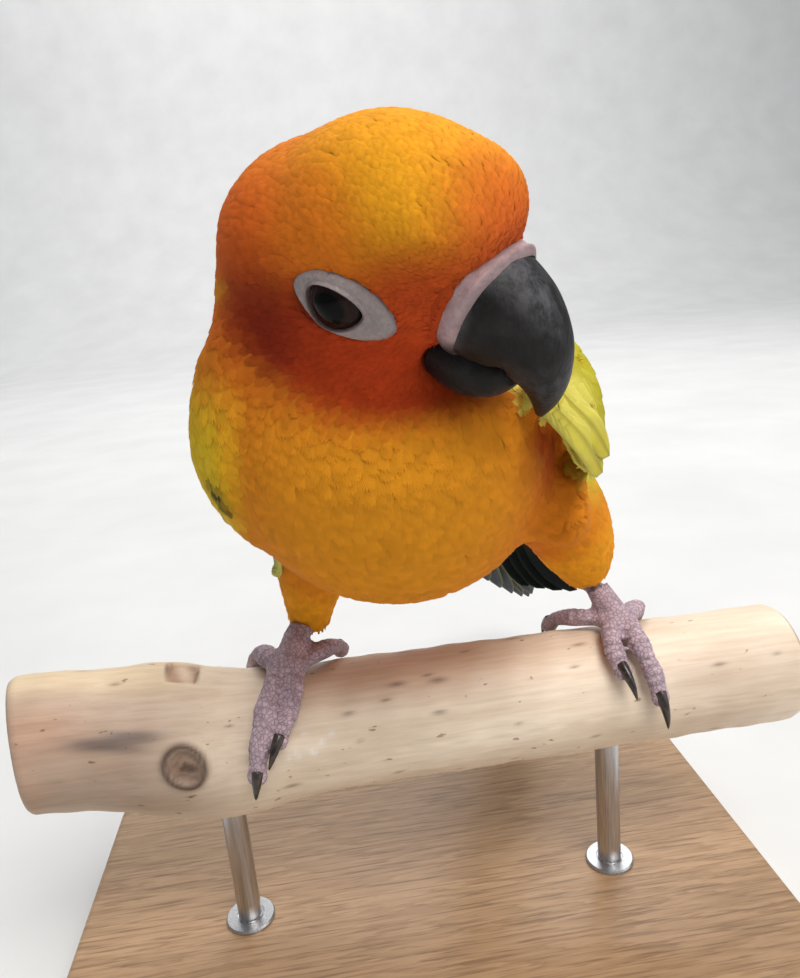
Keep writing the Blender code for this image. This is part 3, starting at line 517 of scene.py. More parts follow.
def markings(places, armness):
    """The coat's colour at places, as the skin and the feathers both carry it."""
    there = to_head(places)
    station, angle, side = body_place(places)
    head = headness(places)[:, None]
    total, weight = np.zeros((len(places), 3)), np.full((len(places), 1), 1e-6)
    for centre, reach, colour in HEAD_MARKS:
        w = np.exp(-np.sum((there - centre) ** 2, 1) / reach**2)[:, None] * head
        total, weight = total + w * colour, weight + w
    for at, turn, long_, wide, colour in BODY_MARKS:
        away = ((station - at) / long_) ** 2 + ((angle - turn) / wide) ** 2
        w = np.exp(-away)[:, None] * (1 - head)
        total, weight = total + w * colour, weight + w
    colours = total / weight
    leg = legness(places)[0][:, None]
    colours = colours * (1 - leg) + leg * THIGH_MARK
    arm = np.where(side[:, None] < 0, ARM_MARKS[-1], ARM_MARKS[1])
    fold = np.exp(-(((angle - FOLD_AT) / FOLD_WIDE) ** 2))[:, None] * (side[:, None] > 0)
    arm = arm * (1 - fold) + fold * FOLD_MARK
    # the hollow under the left wing's front fold is darkened as a painted shadow
    for at, reach in FOLD_SHADOW_MARKS:
        fold_shadow = np.exp(-np.sum((places - at) ** 2, 1) / reach**2)[:, None]
        colours = colours * (1 - fold_shadow) + fold_shadow * FOLD_SHADOW_COLOUR
    colours = colours * (1 - armness[:, None]) + armness[:, None] * arm
    for at, reach, colour, strength in PLACE_MARKS:
        spot = np.exp(-np.sum((places - at) ** 2, 1) / reach**2)[:, None] * strength
        colours = colours * (1 - spot) + spot * colour
    return colours


def lie_of_coat(places, normals):
    """The direction that feathers lie in, along the skin."""
    there = to_head(places)
    bill = there - (8.0, 0.0, -3.0)
    bill[:, 0] -= 4.0
    ahead = unit(bill) @ HEAD
    station = body_place(places)[0]
    back = body_axes(station)[3]
    head = headness(places)[:, None]
    leg, down = legness(places)
    flow = unit(ahead * head + back * (1 - head))
    flow = unit(flow * (1 - leg[:, None]) + down * leg[:, None])
    flow = flow - normals * np.sum(flow * normals, -1, keepdims=True)
    return unit(flow)


def armness_of(places):
    """1 on the folded arms, 0 off them."""
    station, angle, side = body_place(places)
    share = np.zeros(len(places))
    for which in (-1, 1):
        rows = np.array(ARM[which])
        turn = angle - wing_hang(station, which)
        low = np.interp(station, rows[:, 0], rows[:, 1])
        high = np.interp(station, rows[:, 0], rows[:, 2])
        inside = ease_step(-10.0, 5.0, turn - low) * (1 - ease_step(4.0, 22.0, turn - high))
        inside *= ease_step(*ARM_START[which], station) * (1 - ease_step(*ARM_END, station))
        if which > 0:
            off = places - on_body(station, angle, np.zeros(len(places)), which)[0]
            inside *= ease_step(1.4, 2.6, np.linalg.norm(off, axis=1))
        share = np.where(side == which, inside, share)
    spots = to_world(places).tolist()
    flat = [on_body(station, angle, np.zeros(len(places)), which)[0] for which in (-1, 1)]
    off = np.linalg.norm(places - np.where(side[:, None] < 0, *flat), axis=1)
    for i in np.flatnonzero((off > 1.4) & (station < 4.8)).tolist():
        hit = arm_trees[int(side[i])].find_nearest(spots[i], ARM_REACH[1] * MM)
        if hit[0] is not None:
            near = float(ease_step(1.4, 2.4, off[i]) * (1 - ease_step(*ARM_REACH, hit[3] / MM)))
            share[i] = max(share[i], near)
    share = share * ease_step(0.98, 1.16, fill_reach("flank", places)) * (1 - headness(places))
    return np.maximum(share, 1 - ease_step(1.0, 1.12, fill_reach("wing_lip", places)))


CELL = 2.0  # side of the cells of space that scatter sorts its places into


def scatter(obj, seed, spacing):
    """Root places spread evenly over a piece, no closer than spacing(places), with normals."""
    rng = np.random.default_rng(seed)
    obj.data.calc_loop_triangles()
    tris = np.empty(len(obj.data.loop_triangles) * 3, int)
    obj.data.loop_triangles.foreach_get("vertices", tris)
    a, b, c = corners_of(obj)[tris.reshape(-1, 3).T]
    cross = np.cross(b - a, c - a)
    area = np.linalg.norm(cross, axis=1) / 2
    wanted = spacing((a + b + c) / 3)
    chance = np.where(wanted > 0, area * 3.0 / np.maximum(wanted, 0.1) ** 2, 0.0)
    pick = np.repeat(np.arange(len(area)), rng.poisson(chance))
    rng.shuffle(pick)
    u, v = rng.random(len(pick)), rng.random(len(pick))
    flip = u + v > 1
    u[flip], v[flip] = 1 - u[flip], 1 - v[flip]
    places = a[pick] + (b - a)[pick] * u[:, None] + (c - a)[pick] * v[:, None]
    # the places are kept in cells of space, so that each is held against its neighbours alone
    cells, kept = {}, []
    for i, (p, near) in enumerate(zip(places.tolist(), wanted[pick].tolist())):
        key = [int(value // CELL) for value in p]
        reach = 1 if near <= CELL else 2
        beside = product(*(range(k - reach, k + reach + 1) for k in key))
        if all(math.dist(p, q) >= near for cell in beside for q in cells.get(cell, ())):
            cells.setdefault(tuple(key), []).append(p)
            kept.append(i)
    return places[kept], unit(cross[pick])[kept]


# a soft feather from root to tip: along, across (share of its half width), with a frayed end
SOFT_ROWS = ((0.0, 0.35), (0.3, 0.85), (0.62, 1.0), (0.84, 0.8))
SOFT_TIPS = ((-0.62, 0.93), (-0.22, 1.0), (0.2, 0.99), (0.6, 0.92))


def soft_feather():
    """Corners (along, across) and faces of one small feather with a fringe of barb tips."""
    across = (-1.0, -0.5, 0.0, 0.5, 1.0)
    corners = [(along, a * wide) for along, wide in SOFT_ROWS for a in across]
    faces = []
    for row in range(len(SOFT_ROWS) - 1):
        for k in range(4):
            first = row * 5 + k
            faces.append((first, first + 1, first + 6, first + 5))
    last = (len(SOFT_ROWS) - 1) * 5
    for k, (a, along) in enumerate(SOFT_TIPS):
        corners.append((along, a * 0.86))
        faces.append((last + k, last + k + 1, len(corners) - 1))
    return np.array(corners), faces


def mesh_from(name, verts, faces_of_one, copies, per_copy, finish):
    """A joined mesh of many copies of one small shape, from an array of all their corners."""
    loops = [i for face in faces_of_one for i in face]
    sizes = np.array([len(face) for face in faces_of_one])
    all_loops = (np.array(loops)[None, :] + np.arange(copies)[:, None] * per_copy).ravel()
    all_sizes = np.tile(sizes, copies)
    starts = np.concatenate(([0], np.cumsum(all_sizes)[:-1]))
    mesh = bpy.data.meshes.new(name)
    mesh.vertices.add(len(verts))
    mesh.vertices.foreach_set("co", verts.ravel())
    mesh.loops.add(len(all_loops))
    mesh.loops.foreach_set("vertex_index", all_loops)
    mesh.polygons.add(len(all_sizes))
    mesh.polygons.foreach_set("loop_start", starts)
    mesh.polygons.foreach_set("loop_total", all_sizes)
    mesh.update(calc_edges=True)
    mesh.materials.append(finish)
    mesh.shade_smooth()
    obj = bpy.data.objects.new(name, mesh)
    bpy.context.scene.collection.objects.link(obj)
    return obj, all_loops


def paint(mesh, name, values):
    """Stores one colour a corner point of a mesh."""
    layer = mesh.attributes.new(name, "FLOAT_COLOR", "POINT")
    values = np.asarray(values, float)
    layer.data.foreach_set("color", np.concatenate((values, np.ones((len(values), 1))), 1).ravel())


def store(mesh, loops, colours, vane_uv, patch_uv):
    """Writes the markings and the two maps of a feather mesh."""
    paint(mesh, "markings", colours)
    for name, spots in (("vane", vane_uv), ("OFBake", patch_uv)):
        layer = mesh.uv_layers.new(name=name)
        layer.data.foreach_set("uv", spots[loops].ravel())


def unwrap(places):
    """Where places come on the skin's own unwrap, body and head laid side by side."""
    station, angle, side = body_place(places)
    there = to_head(places)
    head = headness(places) > 0.5
    body_u = 0.25 + side * (90 + angle) / 180 * 0.24
    body_v = 0.02 + station / 6.5 * 0.95
    turn = np.arctan2(there[:, 1], there[:, 2])
    head_u = 0.75 + turn / np.pi * 0.24
    head_v = 0.02 + (30 - np.clip(there[:, 0], -36, 24) - 6) / 60 * 0.95
    u = np.where(head, head_u, body_u)
    v = np.clip(np.where(head, head_v, body_v), 0.01, 0.99)
    return np.stack((u, v), 1)


def hug(places):
    """The nearest places on the skin and its outward directions."""
    found, ways = np.empty_like(places), np.empty_like(places)
    for i, p in enumerate(places.tolist()):
        found[i], ways[i] = skin_tree.find_nearest(p)[:2]
    return found, ways


PATCH = 0.003  # size of a small feather on the unwrap
ROOTED = 0.12  # share of a small feather that lies behind its root


def lay_coat(name, roots, normals, lengths, widths, lift, colours, finish, seed):
    """Lays one small feather at each root, hugging the skin and rising towards its tip."""
    rng = np.random.default_rng(seed)
    shape, faces = soft_feather()
    count, per = len(roots), len(shape)
    flow = lie_of_coat(roots, normals)
    across = np.cross(flow, normals)
    stray = rng.normal(0.0, 0.13, (count, 1))
    flow = unit(flow + across * stray)
    across = np.cross(flow, normals)
    lengths = lengths * rng.uniform(0.85, 1.15, count)
    along = (shape[None, :, 0] - ROOTED) * lengths[:, None]
    out = shape[None, :, 1] * widths[:, None] * rng.uniform(0.9, 1.1, (count, 1))
    places = roots[:, None] + flow[:, None] * along[..., None] + across[:, None] * out[..., None]
    fringe = np.where(shape[:, 0] > 0.9, 1.0, 0.0)
    frayed = rng.normal(0.0, 0.12, (count, per)) * fringe * widths[:, None]
    places += across[:, None] * frayed[..., None]
    flat, ways = hug(places.reshape(-1, 3))
    turned = np.sum(ways.reshape(count, per, 3) * normals[:, None], -1).min(1)
    moved = np.linalg.norm(flat.reshape(count, per, 3) - places, axis=-1).max(1)
    loose = np.repeat((turned < 0.35) | (moved > 0.4 * lengths), per)[:, None]
    straight = roots[:, None] + (places - roots[:, None]) * 0.35
    flat = np.where(loose, straight.reshape(-1, 3), flat)
    ways = np.where(loose, np.repeat(normals, per, 0), ways)
    rise = 0.05 + lift[:, None] * shape[None, :, 0] ** 1.3 * rng.uniform(0.75, 1.25, (count, 1))
    cup = 0.12 * widths[:, None] * shape[None, :, 1] ** 2
    verts = flat + ways * (rise - cup).reshape(-1, 1)
    obj, loops = mesh_from(name, to_world(verts), faces, count, per, finish)
    roll = across[:, None] * shape[None, :, 1:2] * 0.22
    roll = roll + flow[:, None] * (shape[None, :, 0:1] - 0.4) * 0.12
    obj.data.normals_split_custom_set_from_vertices(unit(ways + roll.reshape(-1, 3)).tolist())
    tone = rng.normal(1.0, 0.045, (count, 1, 1))
    # each feather is painted darker towards its root, as painted shade where the next feather laps over
    # it
    shade = 0.90 + 0.14 * shape[None, :, 0:1] ** 0.8
    tones = np.clip(colours[:, None] * tone * shade, 0.0, 1.0).reshape(-1, 3)
    vane = np.tile(np.stack((shape[:, 1] * 0.5 + 0.5, shape[:, 0]), 1), (count, 1))
    sheet = np.stack((shape[:, 1] * 0.5, shape[:, 0] - 0.5), 1) * PATCH
    spot = unwrap(roots)[:, None] + sheet[None]
    store(obj.data, loops, tones, vane, spot.reshape(-1, 2))


def new_finish(name, roughness, **sockets):
    """A Principled finish with its even values set, with its node tree and shader."""
    finish = bpy.data.materials.new(name)
    finish.use_nodes = True
    shader = finish.node_tree.nodes["Principled BSDF"]
    shader.inputs["Roughness"].default_value = roughness
    for key, value in sockets.items():
        shader.inputs[key.replace("_", " ")].default_value = value
    return finish, finish.node_tree, shader


def feed(tree, socket, value):
    """Gives a socket a value or a link."""
    if isinstance(value, bpy.types.NodeSocket):
        tree.links.new(value, socket)
    else:
        socket.default_value = value


def add_node(tree, kind, settings=(), **inputs):
    """A node with its settings and its named inputs, which may be values or links."""
    made = tree.nodes.new(kind)
    for key, value in dict(settings).items():
        setattr(made, key, value)
    for key, value in inputs.items():
        feed(tree, made.inputs[key], value)
    return made


def maths(tree, operation, *values):
    """The result of one sum on values or links."""
    made = add_node(tree, "ShaderNodeMath", {"operation": operation})
    for socket, value in zip(made.inputs, values):
        feed(tree, socket, value)
    return made.outputs[0]


def ramp(tree, factor, *stops):
    """A colour ramp on a link, with stops of place and colour."""
    made = add_node(tree, "ShaderNodeValToRGB", Fac=factor)
    while len(made.color_ramp.elements) < len(stops):
        made.color_ramp.elements.new(0.5)
    for element, (place, colour) in zip(made.color_ramp.elements, stops):
        element.position = place
        element.color = (*colour, 1.0)
    return made.outputs["Color"]


def object_place(tree, stretch=(1.0, 1.0, 1.0)):
    """The object's own coordinates, stretched."""
    place = add_node(tree, "ShaderNodeTexCoord")
    moved = add_node(tree, "ShaderNodeMapping", Vector=place.outputs["Object"], Scale=stretch)
    return moved.outputs[0]


def noise(tree, where, scale, detail=4.0, rough=0.55):
    """Fractal noise of a scale per metre."""
    made = add_node(tree, "ShaderNodeTexNoise", Vector=where, Scale=scale, Detail=detail, Roughness=rough)
    return made.outputs["Fac"]


def bump(tree, shader, height, strength, distance):
    """Raises a finish's surface by a link."""
    raised = add_node(tree, "ShaderNodeBump", Height=height, Strength=strength, Distance=distance)
    tree.links.new(raised.outputs[0], shader.inputs["Normal"])


def painted(tree, name):
    """The stored colour of a mesh in its finish."""
    return add_node(tree, "ShaderNodeAttribute", {"attribute_name": name}).outputs["Color"]


def mixed(tree, kind, share, first, second):
    """One colour, or link, laid over another."""
    how = {"blend_type": kind}
    return add_node(tree, "ShaderNodeMixRGB", how, Fac=share, Color1=first, Color2=second).outputs[0]


def coat_finish(name, barbs, ribs, roughness):
    """Feather: the markings' colour, crossed by fine barbs that slope away from the shaft."""
    finish, tree, shader = new_finish(name, roughness, Specular_IOR_Level=0.12)
    vane = add_node(tree, "ShaderNodeUVMap", {"uv_map": "vane"})
    split = add_node(tree, "ShaderNodeSeparateXYZ", Vector=vane.outputs["UV"])
    apart = maths(tree, "ABSOLUTE", maths(tree, "SUBTRACT", split.outputs["X"], 0.5))
    slope = maths(tree, "MULTIPLY_ADD", apart, -0.9, split.outputs["Y"])
    wave = maths(tree, "SINE", maths(tree, "MULTIPLY", slope, barbs))
    cloud = noise(tree, object_place(tree), 420.0, 3.0, 0.5)
    level = maths(tree, "MULTIPLY_ADD", wave, 0.06, 0.82)
    mottle = maths(tree, "MULTIPLY_ADD", cloud, 0.36, level)
    tone = mixed(tree, "MULTIPLY", 1.0, painted(tree, "markings"), mottle)
    tree.links.new(tone, shader.inputs["Base Color"])
    bump(tree, shader, wave, ribs, 0.0002)
    return finish


down_finish = coat_finish("small_feathers", 60.0, 0.25, 0.85)


def eye_axes(side):
    """The eye's place and its forward, upward and outward directions."""
    forward, out, up = EYE_AT
    toward, above = (math.radians(a) for a in EYE_TURN)
    sideways = side * math.cos(toward) * math.cos(above)
    look = unit(np.array((math.sin(toward), sideways, math.sin(above))))
    along = np.array((1.0, 0.0, -0.25))
    along = unit(along - look * along.dot(look))
    upward = np.cross(look, along) @ HEAD * side
    return from_head((forward, side * out, up)), along @ HEAD, upward, look @ HEAD


# the rings' middle along the lids, then the cere's root and its way ahead, in the head
RING_MIDDLE = 0.5
CERE_ROOT, CERE_AHEAD = np.array((9.8, 0.0, -3.0)), np.array((0.883, 0.0, -0.469))


def bare(places):
    """True where no feather grows: in the rings round the eyes and under the bill's base."""
    found = np.zeros(len(places), bool)
    for side in (-1, 1):
        middle, along, upward, look = eye_axes(side)
        away = places - middle
        x = (away @ along - RING_MIDDLE) / LID_RING[0]
        y = (away @ upward) / LID_RING[1]
        found |= (x * x + y * y < 1.0) & (away @ look > -6.0)
    there = to_head(places) - CERE_ROOT
    past = there @ CERE_AHEAD
    found |= (past > 0.6) & (np.linalg.norm(there - np.outer(past, CERE_AHEAD), axis=1) < 8.4)
    return found


def small_size(places):
    """Length of the small feathers at places."""
    there = to_head(places)
    head = headness(places)
    bill = np.linalg.norm(there - (8.0, 0.0, -3.0), axis=1)
    on_head = 1.7 + 2.0 * ease_step(9.0, 32.0, bill)
    station = body_place(places)[0]
    on_trunk = 4.6 + 1.8 * ease_step(1.0, 4.0, station)
    leg = legness(places)[0]
    size = on_head * head + on_trunk * (1 - head)
    size = size * (1 - leg) + 3.8 * leg
    return size * (1 + 0.15 * armness_of(places))


def small_spacing(places):
    """Distance between the small feathers' roots."""
    return np.where(bare(places), 0.0, small_size(places) * 0.205)


# the skin is evened out where soft bodies fill it
EASED, EASE_ROUNDS = ("flank", "wing_end", "nape", "crown"), 25
places = corners_of(skin)
soft = [1 - ease_step(1.1, 1.5, fill_reach(name, places)) for name in EASED]
soft = 0.5 * np.max(soft, 0)[:, None]
ends = np.empty(len(skin.data.edges) * 2, int)
skin.data.edges.foreach_get("vertices", ends)
first, second = ends.reshape(-1, 2).T
degree = np.bincount(ends, minlength=len(places))[:, None]
for _ in range(EASE_ROUNDS):
    totals = []
    for k in range(3):
        from_second = np.bincount(first, places[second, k], len(places))
        from_first = np.bincount(second, places[first, k], len(places))
        totals.append(from_second + from_first)
    places = places + (np.stack(totals, 1) / degree - places) * soft

# it draws in under the cere and the rings round the eyes, which are pieces of their own
CERE_DRAW, RING_DRAW = 0.45, 2.4
places = to_head(places)
past = (places - CERE_ROOT) @ CERE_AHEAD
axis = CERE_ROOT + np.outer(past, CERE_AHEAD)
reach = np.linalg.norm(places - axis, axis=1)
draw = np.clip(past / 1.5, 0, 1) * np.clip((10.0 - reach) / 1.5, 0, 1)
narrowed = axis + (places - axis) * (1 - CERE_DRAW * draw[:, None])
places = from_head(narrowed - np.outer(draw * past * 0.5, CERE_AHEAD))
for side in (-1, 1):
    middle, along, upward, look = eye_axes(side)
    away = places - middle
    reach = np.hypot((away @ along - RING_MIDDLE) / LID_RING[0], away @ upward / LID_RING[1])
    near = (away @ look > -6.0) * (1 - ease_step(0.7, 1.02, reach))
    places = places - np.outer(near * RING_DRAW, look)
skin.data.vertices.foreach_set("co", to_world(places).ravel())
skin.data.update()
skin_tree = BVHTree.FromPolygons(places.tolist(), [tuple(p.vertices) for p in skin.data.polygons])

# the coat's pieces by number, how far back the face reaches, and the breast's last station
COATS = ("coat_face", "coat_nape", "coat_breast", "coat_rear", "coat_arm_right", "coat_arm_left")
FACE_BACK, BREAST_END = -3.0, 2.6
roots, normals = scatter(skin, 4, small_spacing)
sizes = small_size(roots)
on_arm = armness_of(roots)
widths = sizes * (0.21 + 0.05 * on_arm)
colours = markings(roots, on_arm)
station, _, which_side = body_place(roots)
on_head = headness(roots) > 0.5
on_face = on_head & (to_head(roots)[:, 0] > FACE_BACK)
wing_coat = np.where(which_side < 0, 4, 5)
regions = np.select([on_arm > 0.5, on_face, on_head, station < BREAST_END], [wing_coat, 0, 1, 2], 3)
for number, name in enumerate(COATS):
    here = regions == number
    lift = 0.03 * sizes[here] + (0.10 if number < 2 else 0.18)
    lay_coat(
        name, roots[here], normals[here], sizes[here], widths[here],
        lift, colours[here], down_finish, 20 + number,
    )

# the skin carries the same markings, a little darker than the feathers over it, as painted shade under
# the coat
SKIN_SHADE = 0.85
skin.data.materials.append(down_finish)
places = corners_of(skin)
paint(skin.data, "markings", markings(places, armness_of(places)) * SKIN_SHADE)

for name in ("skin", *COATS):
    piece = bpy.data.objects[name]
    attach(piece, "root")
    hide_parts(*FLESH)

# Eyes

# Each eye is a wet dark ball with a brown iris round a wide black pupil. It sits in the skull
# behind the lids, which leave an oval of it showing.

# the ball's middle along, up and out from the middle of the lids, its radius, the radii of
# pupil and iris, and the opening's half length and half height
EYE_CENTRE = (-0.6, 0.0, -2.9)
EYE_BALL = 4.5
PUPIL, IRIS = 2.2, 3.5
OPENING = (3.9, 2.75)
RIM_COLOUR, IRIS_COLOUR = (0.012, 0.009, 0.009), (0.022, 0.010, 0.007)
PUPIL_COLOUR, BACK_GREY = (0.002, 0.002, 0.002), 0.02


def in_eye(side, places):
    """Places given along the lids, up and outwards from an eye, in millimetres round the branch."""
    middle, along, upward, look = eye_axes(side)
    return middle + np.asarray(places, float) @ np.array((along, upward, look))


def grid_piece(name, rows, finish, ends=(False, False)):
    """A piece through closed rows of places in millimetres, with its ends closed if asked."""
    return add_piece(name, loft_bm([to_world(row) for row in rows], ends), finish)


eye_finish, tree, shader = new_finish("wet_eye", 0.06, IOR=1.20)
speckle = noise(tree, object_place(tree), 2200.0)
dapple = ramp(tree, speckle, (0.3, (0.5, 0.5, 0.5)), (0.7, (1.3, 1.3, 1.3)))
tree.links.new(mixed(tree, "MULTIPLY", 0.5, painted(tree, "ring"), dapple), shader.inputs["Base Color"])
for side, name in ((-1, "right"), (1, "left")):
    rows = []
    for polar in np.linspace(0.004, np.pi * 0.62, 30):
        turn = around(40)
        radius = EYE_BALL * math.sin(polar)
        bulge = 0.25 * math.exp(-((polar / 0.55) ** 2))
        height = EYE_BALL * math.cos(polar) + bulge
        ring = np.stack((radius * np.cos(turn), radius * np.sin(turn), np.full(40, height)), 1)
        rows.append(in_eye(side, ring + EYE_CENTRE))
    ball = grid_piece(f"eyeball_{name}", rows, eye_finish, (True, False))
    look = eye_axes(side)[3]
    away = corners_of(ball) - in_eye(side, EYE_CENTRE)
    reach = np.linalg.norm(away - np.outer(away @ look, look), axis=1)[:, None]
    front = (away @ look > 0)[:, None]
    iris = 1 - ease_step(IRIS - 0.2, IRIS + 0.3, reach)
    pupil = 1 - ease_step(PUPIL - 0.1, PUPIL + 0.25, reach)
    colour = np.array(RIM_COLOUR) * (1 - iris) + np.array(IRIS_COLOUR) * iris
    colour = colour * (1 - pupil) + np.array(PUPIL_COLOUR) * pupil
    paint(ball.data, "ring", np.where(front, colour, BACK_GREY))
    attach(ball, "root")
    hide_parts(f"eye_{name}")

# Bare rings round the eyes

# An almond of bare whitish-grey skin round each eye, finely wrinkled towards its corners, with
# the two lids' thick dark margins at the opening.

# a ring's half length and half height, and its sides
RING_SIZE, RING_SIDES = (7.2, 4.1), 96
# shares of the way from the ring's outer edge to the opening
LID_SHARES = (0.0, 0.12, 0.25, 0.38, 0.5, 0.6, 0.7, 0.78, 0.85, 0.91, 0.96, 1.0)
RING_PALE, RING_MARGIN = (0.33, 0.28, 0.27), (0.20, 0.155, 0.16)


def ball_height(x, y):
    """How far out the eyeball's surface lies over a place on the lids."""
    d = np.clip(EYE_BALL**2 - (x - EYE_CENTRE[0]) ** 2 - y**2, 0.0, None)
    return EYE_CENTRE[2] + np.sqrt(d)


ring_finish, tree, shader = new_finish(
    "bare_ring_skin", 0.55,
    Subsurface_Weight=0.12, Subsurface_Scale=0.002, Subsurface_Radius=(1.0, 0.5, 0.4),
)
where = object_place(tree)
grain = ramp(tree, noise(tree, where, 1500.0), (0.3, (0.72, 0.70, 0.72)), (0.7, (1.12, 1.1, 1.1)))
tone = mixed(tree, "MULTIPLY", 0.6, painted(tree, "skin_tone"), grain)
tree.links.new(tone, shader.inputs["Base Color"])
cells = add_node(tree, "ShaderNodeTexVoronoi", {"feature": "F1"}, Vector=where, Scale=2600.0)
bump(tree, shader, cells.outputs["Distance"], 0.35, 0.0002)
for side, name in ((-1, "right"), (1, "left")):
    middle, _, _, look = eye_axes(side)
    turn = around(RING_SIDES)
    c, s = np.cos(turn), np.sin(turn)
    high = RING_SIZE[1] * s * np.abs(s) ** 0.18 + 0.5 * c
    outer = np.stack((RING_MIDDLE + RING_SIZE[0] * c, high), 1)
    inner = np.stack((EYE_CENTRE[0] + OPENING[0] * c, OPENING[1] * s * np.abs(s) ** 0.08), 1)
    # the outer edge follows the skin, smoothed over nine neighbours
    edge_high = (hug(in_eye(side, np.column_stack((outer, np.zeros(RING_SIDES)))))[0] - middle) @ look
    edge_high = np.convolve(np.tile(edge_high, 3), np.ones(9) / 9, "same")[RING_SIDES:2 * RING_SIDES]
    rim = ball_height(inner[:, 0], inner[:, 1])
    rows = []
    for share in LID_SHARES:
        flat = outer * (1 - share) + inner * share
        swell = np.sin(np.pi * min(share / 0.8, 1.0)) * 0.35
        lid = 0.62 * math.exp(-(((share - 0.88) / 0.09) ** 2))
        at_edge = (edge_high - 0.25 + 0.35 * np.abs(c) ** 5) * (1 - share) ** 1.6
        height = at_edge + (rim + 0.05) * share**1.3 + swell + lid
        wrinkle = 0.05 * np.sin(turn * 34 + 3 * share) * math.sin(math.pi * share)
        wrinkle = wrinkle + 0.06 * math.sin(share * 22)
        rows.append(in_eye(side, np.stack((flat[:, 0], flat[:, 1], height + wrinkle), 1)))
    last = np.stack((inner[:, 0] * 0.97, inner[:, 1] * 0.95, rim - 0.5), 1)
    rows.append(in_eye(side, last))
    lids = grid_piece(f"eye_ring_skin_{name}", rows, ring_finish)
    shade = np.repeat(np.array(LID_SHARES + (1.0,)), RING_SIDES)[:, None]
    margin = ease_step(0.80, 0.95, shade)
    colour = np.array(RING_PALE) * (1 - margin) + np.array(RING_MARGIN) * margin
    # the ring is painted darker along its outer edge, as painted shade under the edge of the feathers
    paint(lids.data, "skin_tone", colour * (0.62 + 0.38 * ease_step(0.0, 0.16, shade)))
    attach(lids, "root")
    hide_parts(f"eye_ring_{name}")

# Bill and cere

# The bill is horn over bone, a hooked upper half with a ridge along its top and a short cupped
# lower half. The cere is the band of bare pinkish skin at its root, with the two nostrils.

# sections in the head: forward, up, half width and half height
UPPER_BILL = (
    (7.0, -1.8, 6.4, 6.6),
    (11.4, -3.8, 7.2, 7.1),
    (15.2, -5.8, 6.5, 6.3),
    (17.9, -8.4, 5.1, 4.9),
    (19.2, -11.6, 3.6, 3.5),
    (19.3, -14.8, 2.2, 2.1),
    (18.4, -18.2, 0.6, 0.6),
)
LOWER_BILL = (
    (4.6, -11.0, 6.0, 4.6),
    (9.0, -12.2, 6.3, 4.8),
    (12.4, -12.5, 5.5, 3.9),
    (15.4, -11.9, 3.4, 2.0),
)
CERE = (
    (7.6, -2.0, 6.2, 6.2),
    (9.8, -3.0, 7.1, 7.0),
    (11.3, -3.8, 7.35, 7.3),
    (12.3, -4.3, 7.1, 7.0),
)
NOSTRIL, NOSTRIL_SIZE = (11.0, 5.4, 2.0), (1.1, 1.3, 1.0)
# the nostrils' pits are painted near black, as painted shade
NOSTRIL_SHADE_COLOUR = (0.02, 0.012, 0.012)
CERE_PALE, CERE_DARK = (0.46, 0.33, 0.335), (0.030, 0.026, 0.027)


def bill_rows(sections, steps, sides, power, shape=None):
    """Rings through sections of a bill, with corners squared by a power and shaped if asked."""
    rows = []
    last = len(sections) - 1
    turn = around(sides)
    for t in np.linspace(0, last, steps):
        forward, up, wide, high = spline(sections, t)
        ahead = (spline(sections, min(t + NEAR, last)) - spline(sections, max(t - NEAR, 0)))[:2]
        ahead = ahead / np.linalg.norm(ahead)
        c, s = np.cos(turn), np.sin(turn)
        x = np.sign(c) * np.abs(c) ** (2 / power) * wide
        y = np.sign(s) * np.abs(s) ** (2 / power) * high
        if shape:
            x, y = shape(t / last, turn, x, y)
        rows.append(from_head(np.stack((forward - ahead[1] * y, x, up + ahead[0] * y), 1)))
    return rows


def upper_shape(share, turn, x, y):
    """A ridge on top, a cutting edge low on each side and a notch in it behind the hook."""
    s = np.sin(turn)
    ridge = 0.35 * np.exp(-(((turn - np.pi / 2) / 0.22) ** 2))
    ridge = ridge * (1 - share) * ease_step(0.1, 0.3, share)
    flare = 0.5 * np.exp(-(((s + 0.45) / 0.22) ** 2)) * math.sin(math.pi * min(share * 1.25, 1.0))
    notch = 0.8 * np.exp(-(((s + 0.6) / 0.35) ** 2)) * math.exp(-(((share - 0.50) / 0.06) ** 2))
    return x * (1 + 0.08 * flare) - np.sign(x) * 0.2 * notch, y + ridge + notch


horn_finish, tree, shader = new_finish("bill_horn", 0.48, Specular_IOR_Level=0.22)
where = object_place(tree)
cloud = noise(tree, where, 190.0, 5.0)
fine = noise(tree, object_place(tree, (1.0, 1.0, 0.35)), 1400.0, 3.0)
base = ramp(
    tree, cloud,
    (0.32, (0.003, 0.0026, 0.0024)), (0.55, (0.008, 0.0066, 0.006)), (0.8, (0.026, 0.024, 0.024)),
)
scurf = noise(tree, object_place(tree, (1.0, 1.0, 0.6)), 520.0, 6.0, 0.7)
flakes = ramp(tree, scurf, (0.42, (0.25, 0.25, 0.25)), (0.6, (1.5, 1.5, 1.5)))
# the stored pale layer, grey bloom with a painted highlight, broken up by the flakes
bloom_and_highlight = mixed(tree, "MULTIPLY", 1.0, painted(tree, "bloom_and_highlight"), flakes)
tree.links.new(mixed(tree, "ADD", 1.0, base, bloom_and_highlight), shader.inputs["Base Color"])
bump(tree, shader, maths(tree, "ADD", maths(tree, "MULTIPLY", cloud, 1.5), fine), 0.4, 0.0003)

